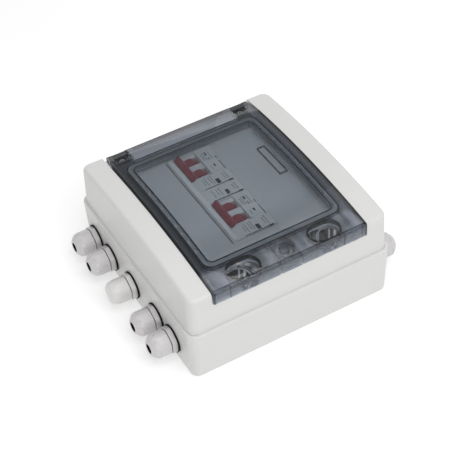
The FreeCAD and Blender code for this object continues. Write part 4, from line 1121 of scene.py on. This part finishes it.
class MeshKit:
    """Small mesh tools that all assemblies use.

    Attributes:
        SHARP_ANGLE: Edges steeper than this, in degrees, stay sharp where nothing else is said.
        MERGE_REACH: Distance in metres within which corners are merged.
        SHORTEST_EDGE: Length in metres of the shortest edge that stays.
        FACE_WEIGHT: Weight of large faces in the smooth normals.
    """

    SHARP_ANGLE = 35.0
    MERGE_REACH = 2e-6
    SHORTEST_EDGE = 1e-7
    FACE_WEIGHT = 80

    def __init__(self, palette: Palette) -> None:
        """Takes its materials from a palette."""
        self._palette = palette

    def smooth_copy(self, node: bpy.types.Object, finish: Finish | ClearFinish, body: str,
                    angle: float = SHARP_ANGLE,
                    shape: Callable[[bmesh.types.BMesh], None] | None = None) -> bpy.types.Object:
        """Shows a CAD node as a merged copy with smooth shading up to an angle.

        Args:
            node: The CAD node.
            finish: Finish of the copy.
            body: CAD body that the copy moves with.
            angle: Edges steeper than this, in degrees, stay sharp.
            shape: What else shapes the merged copy, if anything.

        Returns:
            The copy.
        """
        mesh = node.data.copy()
        mesh.name = node.name + "_shown"
        work = bmesh.new()
        work.from_mesh(mesh)
        bmesh.ops.remove_doubles(work, verts=work.verts, dist=self.MERGE_REACH)
        bmesh.ops.dissolve_degenerate(work, dist=self.SHORTEST_EDGE, edges=work.edges)
        if shape is not None:
            shape(work)
        work.to_mesh(mesh)
        work.free()
        if "custom_normal" in mesh.attributes:
            mesh.attributes.remove(mesh.attributes["custom_normal"])
        mesh.shade_smooth()
        mesh.set_sharp_from_angle(angle=math.radians(angle))
        copy = bpy.data.objects.new(mesh.name, mesh)
        bpy.context.scene.collection.objects.link(copy)
        weighted = copy.modifiers.new("even_normals", "WEIGHTED_NORMAL")
        weighted.keep_sharp = True
        weighted.weight = self.FACE_WEIGHT
        mesh.materials.clear()
        mesh.materials.append(self._palette.get(finish))
        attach(copy, body)
        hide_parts(node.name)
        return copy

    def paint(self, node: bpy.types.Object, finish: Finish | ClearFinish) -> None:
        """Gives a CAD node its material."""
        node.data.materials.clear()
        node.data.materials.append(self._palette.get(finish))

    def add_box(self, work: bmesh.types.BMesh, middle: tuple[float, float, float],
                size: tuple[float, float, float]) -> None:
        """Adds a box, with middle and sizes in millimetres, to a bmesh in metres."""
        place = Matrix.Translation(mm(*middle)) @ Matrix.Diagonal((*mm(*size), 1.0))
        bmesh.ops.create_cube(work, size=1.0, matrix=place)

    def new_piece(self, name: str, work: bmesh.types.BMesh, finish: Finish | ClearFinish, body: str,
                  slot: str, angle: float = SHARP_ANGLE) -> bpy.types.Object:
        """Turns a bmesh into a finished visual piece.

        Args:
            name: Name of the piece.
            work: Its geometry in metres, in the frame of the part. It is freed.
            finish: Its finish.
            body: CAD body that it moves with.
            slot: Not used.
            angle: Edges steeper than this, in degrees, stay sharp.

        Returns:
            The new object.
        """
        mesh = bpy.data.meshes.new(name)
        bmesh.ops.recalc_face_normals(work, faces=work.faces)
        work.to_mesh(mesh)
        work.free()
        mesh.shade_smooth()
        mesh.set_sharp_from_angle(angle=math.radians(angle))
        mesh.materials.append(self._palette.get(finish))
        piece = bpy.data.objects.new(name, mesh)
        bpy.context.scene.collection.objects.link(piece)
        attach(piece, body)
        return piece


@dataclass(frozen=True)
class NoseFacets:
    """Slightly hollow facets around the nose of a gland nut, cut into the shown copy of the CAD nut.

    Attributes:
        at_x: Place of the gland along X in millimetres.
        count: Number of facets.
        start_y: Distance from the middle where they start.
        fade: Length over which they get to their full depth.
        hollow: Depth of a facet, as a multiple of that of a flat one.
        outward: How far a surface has to face outward to be drawn in.
        tolerance: Reach in metres within which a corner lies on a cut.
    """

    at_x: float
    count: int = 12
    start_y: float = 121.4
    fade: float = 1.6
    hollow: float = 1.7
    outward: float = 0.1
    tolerance: float = 1e-6

    def cut(self, work: bmesh.types.BMesh) -> None:
        """Splits the nose along the corners of the facets and draws its skin in between them.

        Args:
            work: The merged nut, in metres.
        """
        axis = mm(self.at_x, 0.0, SIZES.gland_z)
        pitch = 2.0 * math.pi / self.count
        start = self.start_y * MM
        for number in range(self.count // 2):
            nose = [face for face in work.faces if all(abs(vert.co.y) >= start for vert in face.verts)]
            edges = list(dict.fromkeys(edge for face in nose for edge in face.edges))
            verts = list(dict.fromkeys(vert for face in nose for vert in face.verts))
            across = Vector((math.cos(number * pitch), 0.0, math.sin(number * pitch)))
            bmesh.ops.bisect_plane(work, geom=verts + edges + nose, dist=self.tolerance, plane_co=axis,
                                   plane_no=across)
        work.normal_update()
        for vert in work.verts:
            out = Vector((vert.co.x - axis.x, 0.0, vert.co.z - axis.z))
            if abs(vert.co.y) <= start or vert.normal.dot(out.normalized()) <= self.outward:
                continue
            off = math.atan2(out.z, out.x) % pitch - pitch / 2.0
            drawn = 1.0 - math.cos(pitch / 2.0) / math.cos(off)
            fade = min(1.0, (abs(vert.co.y) - start) / (self.fade * MM))
            vert.co -= out * drawn * self.hollow * fade


# Finish and body of the nodes that are shown by smooth copies
SMOOTH_NODES: dict[str, tuple[Finish | ClearFinish, str]] = {
    "base_housing": (CASING, "casing"),
    "cover_housing": (COVER, "casing"),
    "window_door": (SMOKE, "door"),
    "door_gasket": (DOOR_SEAL, "door"),
    "cover_gasket": (SEAL, "casing"),
    "hinge_block_upper": (HINGE, "casing"),
    "hinge_block_lower": (HINGE, "casing"),
    "hinge_pin_upper": (STEEL, "casing"),
    "hinge_pin_lower": (STEEL, "casing"),
    "cover_screws": (SCREW_STEEL, "casing"),
    "breaker_body_1": (DEVICE, "casing"),
    "breaker_body_2": (DEVICE, "casing"),
    "indicator_body": (DEVICE, "casing"),
    "breaker_lever_1": (LEVER, "lever_1"),
    "breaker_lever_2": (LEVER, "lever_2"),
    "gland_washers": (SEAL, "casing"),
    "gland_locknuts": (GLAND, "casing"),
}
# Finish of the nodes that are shown as they are
PLAIN_NODES: dict[str, Finish] = {
    "din_rail": RAIL,
    "din_rail_screws": STEEL,
    "indicator_lens": DARK_PART,
    "breaker_button_1": DARK_PART,
    "breaker_button_2": DARK_PART,
    "breaker_clip_1": CLIP,
    "breaker_clip_2": CLIP,
    "indicator_clip": CLIP,
    "terminal_screws": STEEL,
    "blanking_strip": CASING,
    "link_bar_lower": COPPER,
    "link_bar_upper": COPPER,
    "link_bar_carrier": CARRIER,
    "earth_bar": BRASS,
    "earth_bar_holder": CARRIER,
    "earth_bar_screws": STEEL,
}


@dataclass(frozen=True)
class NodePainter:
    """Gives every CAD node its finish, as it is or as a smooth copy.

    Attributes:
        nodes: The CAD nodes by name.
        kit: Mesh tools.
        glands: Number of glands.
        blind: Number of the blind gland.
        nut_angle: Edges of the gland nuts steeper than this, in degrees, stay sharp.
    """

    nodes: dict[str, bpy.types.Object]
    kit: MeshKit
    glands: int = 6
    blind: int = 3
    nut_angle: float = 9.0

    def build(self) -> None:
        """Paints all nodes."""
        for name, (finish, body) in SMOOTH_NODES.items():
            self.kit.smooth_copy(self.nodes[name], finish, body)
        for name, finish in PLAIN_NODES.items():
            self.kit.paint(self.nodes[name], finish)
        open_glands = iter(SIZES.gland_x)
        for number in range(1, self.glands + 1):
            blind = number == self.blind
            finish = BLIND_GLAND if blind else GLAND
            facets = None if blind else NoseFacets(next(open_glands)[0]).cut
            self.kit.smooth_copy(self.nodes[f"gland_body_{number}"], finish, "casing")
            self.kit.smooth_copy(self.nodes[f"gland_nut_{number}"], finish, "casing", self.nut_angle, facets)
            self.kit.smooth_copy(self.nodes[f"gland_seal_{number}"], SEAL, "casing")


@dataclass(frozen=True)
class Mark:
    """A printed bar on a nose.

    Attributes:
        x: Its middle, from the left side of the device, in millimetres.
        y: Its middle, from the middle of the rail.
        length: Size along X.
        width: Size along Y.
    """

    x: float
    y: float
    length: float
    width: float


@dataclass(frozen=True)
class DevicePrint:
    """Printed marks of the noses of the devices, painted shade in the gaps between and below them, and a
    painted highlight along their -Y edge, in millimetres.

    Attributes:
        kit: Mesh tools.
        marks: Dark marks of a breaker.
        faint: Faint mark of a breaker.
        text: Rows of small print of a breaker.
        lamp_text: Rows of small print of the module between the breakers.
        dashes: Lengths of the dashes that stand for small print.
        dash_gap: Gap between two dashes.
        thick: Thickness of print, painted gap shade and painted highlight.
        lift: Their distance from the nose.
        gap_width: Width of the painted shade in the gap between two devices.
        gap_ends: Its ends along Y, from the middle of the rail.
        notch: Length and width of the wider upper end of the painted shade of a gap.
        slot_width: Width of the painted shade in the gap between the noses and the slot of the panel.
        highlight_inset: Distance of the painted highlight from the ends of the row.
        highlight_width: Width of that painted highlight.
        modules: Modules of a breaker.
    """

    kit: MeshKit
    marks: tuple[Mark, ...] = (
        Mark(10.0, 13.7, 4.8, 1.7), Mark(28.2, 13.7, 3.8, 1.8), Mark(19.2, 20.2, 4.6, 0.8),
        Mark(31.5, 20.2, 14.5, 0.9),
    )
    faint: tuple[Mark, ...] = (Mark(17.6, 13.7, 3.8, 1.2),)
    text: tuple[Mark, ...] = (
        Mark(13.5, 16.6, 11.0, 0.9), Mark(13.5, 11.2, 12.0, 0.9), Mark(13.5, 9.0, 9.0, 0.9),
        Mark(30.0, 9.6, 6.0, 0.9), Mark(45.0, 16.0, 12.0, 0.9), Mark(45.5, 13.4, 9.0, 0.9),
        Mark(45.0, 1.5, 12.0, 0.9), Mark(45.0, -1.0, 10.0, 0.9), Mark(45.0, -4.6, 12.0, 0.9),
        Mark(45.5, -7.2, 8.0, 0.9),
    )
    lamp_text: tuple[Mark, ...] = (
        Mark(9.5, 16.0, 10.0, 0.9), Mark(9.5, 13.4, 7.0, 0.9), Mark(9.0, 0.0, 11.0, 0.9),
        Mark(9.0, -3.0, 8.0, 0.9), Mark(9.0, -7.2, 11.0, 0.9),
    )
    dashes: tuple[float, ...] = (1.7, 0.9, 1.3, 0.7, 1.9, 1.1)
    dash_gap: float = 0.5
    thick: float = 0.05
    lift: float = 0.01
    gap_width: float = 0.9
    gap_ends: Span = (-10.4, 19.2)
    notch: Span = (5.0, 2.2)
    slot_width: float = 0.85
    highlight_inset: float = 0.9
    highlight_width: float = 4.6
    modules: int = 3

    def build(self) -> None:
        """Makes all printed marks, the painted gap shade and the painted highlight."""
        lamp = SIZES.row_left + self.modules * SIZES.module
        second = lamp + SIZES.module
        right = second + self.modules * SIZES.module
        faint = self.faint + self._dashed(self.text)
        for number, left in ((1, SIZES.row_left), (2, second)):
            self._print(f"breaker_print_{number}", left, self.marks, INK_AND_GAP_SHADE)
            self._print(f"breaker_faint_print_{number}", left, faint, FAINT_INK)
        self._print("indicator_print", lamp, self._dashed(self.lamp_text), FAINT_INK)
        self._gap_shade((lamp, second, right), right)
        self._nose_highlight(right)

    def _dashed(self, rows: Iterable[Mark]) -> tuple[Mark, ...]:
        """Breaks rows of small print up into dashes.

        Args:
            rows: The rows.

        Returns:
            The dashes.
        """
        done: list[Mark] = []
        for row in rows:
            at = row.x - row.length / 2
            end = row.x + row.length / 2
            index = len(done)
            while at < end:
                length = min(self.dashes[index % len(self.dashes)], end - at)
                done.append(Mark(at + length / 2, row.y, length, row.width))
                at += length + self.dash_gap
                index += 1
        return tuple(done)

    def _flat(self, work: bmesh.types.BMesh, middle: Span, top: float, size: Span) -> None:
        """Adds a thin bar.

        Args:
            work: Mesh that it goes to.
            middle: Its middle.
            top: Height of the surface that it lies on.
            size: Its sizes along X and Y.
        """
        self.kit.add_box(work, (*middle, top + self.lift + self.thick / 2), (*size, self.thick))

    def _print(self, name: str, left: float, marks: Iterable[Mark], finish: Finish) -> None:
        """Makes the marks of one device.

        Args:
            name: Name of the piece.
            left: Left side of the device.
            marks: The marks.
            finish: Ink of the marks.
        """
        work = bmesh.new()
        for mark in marks:
            self._flat(work, (left + mark.x, SIZES.row_y + mark.y), SIZES.nose_z, (mark.length, mark.width))
        self.kit.new_piece(name, work, finish, "casing", "device")

    def _gap_shade(self, places: Iterable[float], right: float) -> None:
        """Makes the painted shade in the gaps between the noses and in the one below them.

        Args:
            places: Sides of the devices that get painted gap shade.
            right: Right end of the row.
        """
        work = bmesh.new()
        low, high = self.gap_ends
        length, width = self.notch
        end = high - length
        for x in places:
            self._flat(work, (x, SIZES.row_y + (low + end) / 2), SIZES.nose_z, (self.gap_width, end - low))
            self._flat(work, (x, SIZES.row_y + high - length / 2), SIZES.nose_z, (width, length))
        edge = SIZES.row_y - SIZES.nose_half - self.lift - self.slot_width / 2
        middle = ((SIZES.row_left + right) / 2, edge)
        self._flat(work, middle, SIZES.panel_z, (right - SIZES.row_left, self.slot_width))
        self.kit.new_piece("device_gap_shade", work, INK_AND_GAP_SHADE, "casing", "device")

    def _nose_highlight(self, right: float) -> None:
        """Makes the painted highlight along the -Y side of the noses.

        Args:
            right: Right end of the row.
        """
        work = bmesh.new()
        middle = ((SIZES.row_left + right) / 2,
                  SIZES.row_y - SIZES.nose_half + self.highlight_inset + self.highlight_width / 2)
        size = (right - SIZES.row_left - 2 * self.highlight_inset, self.highlight_width)
        self._flat(work, middle, SIZES.nose_z, size)
        self.kit.new_piece("device_nose_highlight", work, NOSE_HIGHLIGHT, "casing", "device")


@dataclass(frozen=True)
class GlandRubberAndShade:
    """Black rubber lips of the washers and of the mouth inserts of the glands, which also serve as painted
    shade in the gaps around the flanges and inside the mouths.

    A profile lists its corners as distance from the axis of the gland and distance from the middle of the
    box along Y, in millimetres.

    Attributes:
        kit: Mesh tools.
        washer: Profile of a washer's lip.
        mouth: Profile of an insert's lip.
        steps: Number of steps around.
        angle: Edges steeper than this, in degrees, stay sharp.
    """

    kit: MeshKit
    washer: tuple[Span, ...] = (
        (12.35, 103.95), (13.3, 103.95), (13.3, 105.52), (13.8, 105.52), (13.8, 106.2), (13.6, 106.4),
        (13.1, 106.4), (13.1, 105.25), (12.35, 105.25),
    )
    mouth: tuple[Span, ...] = ((4.3, 127.15), (4.86, 127.15), (4.86, 129.1), (4.7, 129.2), (4.3, 129.1))
    steps: int = 64
    angle: float = 50.0

    def build(self) -> None:
        """Makes the lips, one piece for the washers and one for the mouths."""
        for name, profile, places in (("washer_lips_and_shade", self.washer, (*SIZES.gland_x, SIZES.blind_x)),
                                      ("mouth_lips_and_shade", self.mouth, SIZES.gland_x)):
            work = bmesh.new()
            for x, side in places:
                self._ring(work, profile, x, side)
            self.kit.new_piece(name, work, SEAL, "casing", "seal", self.angle)

    def _ring(self, work: bmesh.types.BMesh, profile: Iterable[Span], x: float, side: int) -> None:
        """Spins a profile around the axis of a gland.

        Args:
            work: Mesh that the ring goes to.
            profile: The profile.
            x: Place of the gland along X.
            side: Its side along Y.
        """
        verts = [work.verts.new(mm(x + radius, side * y, SIZES.gland_z)) for radius, y in profile]
        edges = [work.edges.new((verts[i - 1], verts[i])) for i in range(len(verts))]
        bmesh.ops.spin(work, geom=verts + edges, cent=mm(x, 0, SIZES.gland_z), axis=(0, 1, 0),
                       angle=2 * math.pi, steps=self.steps, use_merge=True)


def direction(azimuth: float, elevation: float) -> Vector:
    """Unit vector from the object toward a place around it.

    Args:
        azimuth: Direction in radians, 0 at -Y and a quarter turn at +X.
        elevation: Height above the floor in radians.

    Returns:
        The vector.
    """
    flat = math.cos(elevation)
    return Vector((math.sin(azimuth) * flat, -math.cos(azimuth) * flat, math.sin(elevation)))


@dataclass(frozen=True)
class Lamp:
    """A soft box.

    Attributes:
        name: Name of the lamp.
        azimuth: Direction that it stands in, in degrees, 0 at -Y and 90 at +X.
        elevation: Height above the floor in degrees.
        distance: Distance from the object in metres.
        size: Width and height in metres.
        power: Power in watts.
    """

    name: str
    azimuth: float
    elevation: float
    distance: float
    size: Span
    power: float


@dataclass(frozen=True)
class Studio:
    """Floor, white backdrop and soft light.

    Attributes:
        lamps: The lamps.
        aim_z: Height that the lamps are aimed at, in millimetres.
        ambient: Strength of the light from all around.
        floor_size: Half the size of the floor in metres.
        floor_z: Height of the floor in metres, just below the object.
        floor_grey: Colour of the floor.
        floor_rough: Its roughness.
        floor_glow: Light that it gives off itself.
    """

    lamps: tuple[Lamp, ...] = (
        Lamp("key_box", 84.0, 58.0, 1.5, (1.1, 1.1), 13.5),
        Lamp("rear_box", 200.0, 40.0, 1.8, (1.2, 1.2), 2.0),
        Lamp("latch_box", 234.0, 67.0, 1.5, (0.6, 0.3), 1.3),
        Lamp("hinge_box", 247.0, 25.0, 1.5, (0.9, 0.26), 0.75),
        Lamp("hinge_glint", 245.4, 29.0, 1.5, (0.045, 0.06), 0.006),
    )
    aim_z: float = 50.0
    ambient: float = 0.505
    floor_size: float = 6.0
    floor_z: float = -0.0002
    floor_grey: float = 0.60
    floor_rough: float = 0.9
    floor_glow: float = 0.45

    def build(self) -> None:
        """Makes floor, world and lamps."""
        self._floor()
        self._world()
        for lamp in self.lamps:
            self._lamp(lamp)

    def _floor(self) -> None:
        """Makes the floor."""
        work = bmesh.new()
        bmesh.ops.create_grid(work, x_segments=1, y_segments=1, size=self.floor_size)
        mesh = bpy.data.meshes.new("studio_floor")
        work.to_mesh(mesh)
        work.free()
        mesh.transform(Matrix.Translation((0, 0, self.floor_z)))
        material = bpy.data.materials.new("studio_floor")
        material.use_nodes = True
        shader = material.node_tree.nodes["Principled BSDF"]
        shader.inputs["Base Color"].default_value = (self.floor_grey, self.floor_grey, self.floor_grey, 1.0)
        shader.inputs["Roughness"].default_value = self.floor_rough
        shader.inputs["Emission Color"].default_value = (1.0, 1.0, 1.0, 1.0)
        shader.inputs["Emission Strength"].default_value = self.floor_glow
        mesh.materials.append(material)
        floor = bpy.data.objects.new("studio_floor", mesh)
        bpy.context.scene.collection.objects.link(floor)
        floor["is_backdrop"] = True

    def _world(self) -> None:
        """Makes the world: white to the camera and through the clear door, softer as a light."""
        world = bpy.data.worlds.new("studio")
        bpy.context.scene.world = world
        world.use_nodes = True
        tree = world.node_tree
        tree.nodes.clear()
        out = tree.nodes.new("ShaderNodeOutputWorld")
        path = tree.nodes.new("ShaderNodeLightPath")
        seen = Formula(tree).most(path.outputs["Is Camera Ray"], path.outputs["Is Transmission Ray"])
        mix = tree.nodes.new("ShaderNodeMixShader")
        tree.links.new(seen, mix.inputs["Fac"])
        for slot, strength in ((1, self.ambient), (2, 1.0)):
            backdrop = tree.nodes.new("ShaderNodeBackground")
            backdrop.inputs["Color"].default_value = (1.0, 1.0, 1.0, 1.0)
            backdrop.inputs["Strength"].default_value = strength
            tree.links.new(backdrop.outputs["Background"], mix.inputs[slot])
        tree.links.new(mix.outputs["Shader"], out.inputs["Surface"])

    def _lamp(self, lamp: Lamp) -> None:
        """Sets one lamp up.

        Args:
            lamp: The lamp.
        """
        data = bpy.data.lights.new(lamp.name, "AREA")
        data.shape = "RECTANGLE"
        data.size, data.size_y = lamp.size
        data.energy = lamp.power
        back = direction(math.radians(lamp.azimuth), math.radians(lamp.elevation))
        light = bpy.data.objects.new(lamp.name, data)
        light.location = mm(0, 0, self.aim_z) + back * lamp.distance
        light.rotation_mode = "QUATERNION"
        light.rotation_quaternion = (-back).to_track_quat("-Z", "Y")
        bpy.context.scene.collection.objects.link(light)


@dataclass(frozen=True)
class PhotoCamera:
    """Camera matched to the photograph.

    Attributes:
        azimuth: Direction of the camera in degrees, 0 at -Y and 90 at +X.
        elevation: Height above the floor in degrees.
        roll: Turn about the view axis in degrees.
        distance: Distance from the target in millimetres.
        target_x: Place of the target across the box in millimetres.
        target_z: Height of the target in millimetres.
        shift: Move to the right and up in the picture plane in millimetres.
        picture_px: Width of the photograph in pixels.
        focal_px: Focal length in pixels of a picture that wide.
        sensor: Width of the sensor in millimetres.
        clip: Nearest and farthest distance that is shown, in metres.
    """

    azimuth: float = 62.1
    elevation: float = 44.46
    roll: float = -3.57
    distance: float = 1330.73
    target_x: float = 1.5
    target_z: float = 40.0
    shift: Span = (1.16, -1.33)
    picture_px: float = 470.0
    focal_px: float = 1410.93
    sensor: float = 36.0
    clip: Span = (0.05, 30.0)

    def build(self) -> bpy.types.Object:
        """Makes the camera.

        Returns:
            The camera object.
        """
        azimuth, elevation, roll = (math.radians(turn) for turn in (self.azimuth, self.elevation, self.roll))
        back = direction(azimuth, elevation)
        right = Vector((math.cos(azimuth), math.sin(azimuth), 0.0))
        up = back.cross(right)
        away = right * self.shift[0] + up * self.shift[1] + back * self.distance
        right_turned = right * math.cos(roll) + up * math.sin(roll)
        up_turned = up * math.cos(roll) - right * math.sin(roll)
        data = bpy.data.cameras.new("photo_camera")
        data.sensor_width = self.sensor
        data.lens = self.focal_px * self.sensor / self.picture_px
        data.clip_start, data.clip_end = self.clip
        camera = bpy.data.objects.new("photo_camera", data)
        turn = Matrix((right_turned, up_turned, back)).transposed()
        place = mm(self.target_x, 0, self.target_z) + away * MM
        camera.matrix_world = Matrix.Translation(place) @ turn.to_4x4()
        bpy.context.scene.collection.objects.link(camera)
        bpy.context.scene.camera = camera
        return camera


@dataclass(frozen=True)
class RenderSettings:
    """Colour handling and light bounces.

    Attributes:
        bounces: Bounces of all kinds together.
        diffuse: Diffuse bounces.
        glossy: Glossy bounces.
        transmission: Bounces through clear plastic.
        transparent: Layers that a ray may pass straight.
        clamp: Brightest indirect sample.
    """

    bounces: int = 20
    diffuse: int = 5
    glossy: int = 8
    transmission: int = 16
    transparent: int = 24
    clamp: float = 8.0

    def apply(self) -> None:
        """Sets the scene up."""
        scene = bpy.context.scene
        scene.view_settings.view_transform = "Standard"
        cycles = scene.cycles
        cycles.max_bounces = self.bounces
        cycles.diffuse_bounces = self.diffuse
        cycles.glossy_bounces = self.glossy
        cycles.transmission_bounces = self.transmission
        cycles.transparent_max_bounces = self.transparent
        cycles.caustics_refractive = True
        cycles.sample_clamp_indirect = self.clamp


def main() -> None:
    """Builds the scene and reports its pieces."""
    logging.basicConfig(level=logging.INFO, format="%(name)s: %(message)s")
    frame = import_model()
    kit = MeshKit(Palette())
    NodePainter(frame["nodes"], kit).build()
    DevicePrint(kit).build()
    GlandRubberAndShade(kit).build()
    Studio().build()
    PhotoCamera().build()
    RenderSettings().apply()
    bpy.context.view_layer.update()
    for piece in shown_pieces():
        LOG.info("piece %s, %d faces", piece.name, len(piece.data.polygons))


if __name__ == "__main__":
    main()
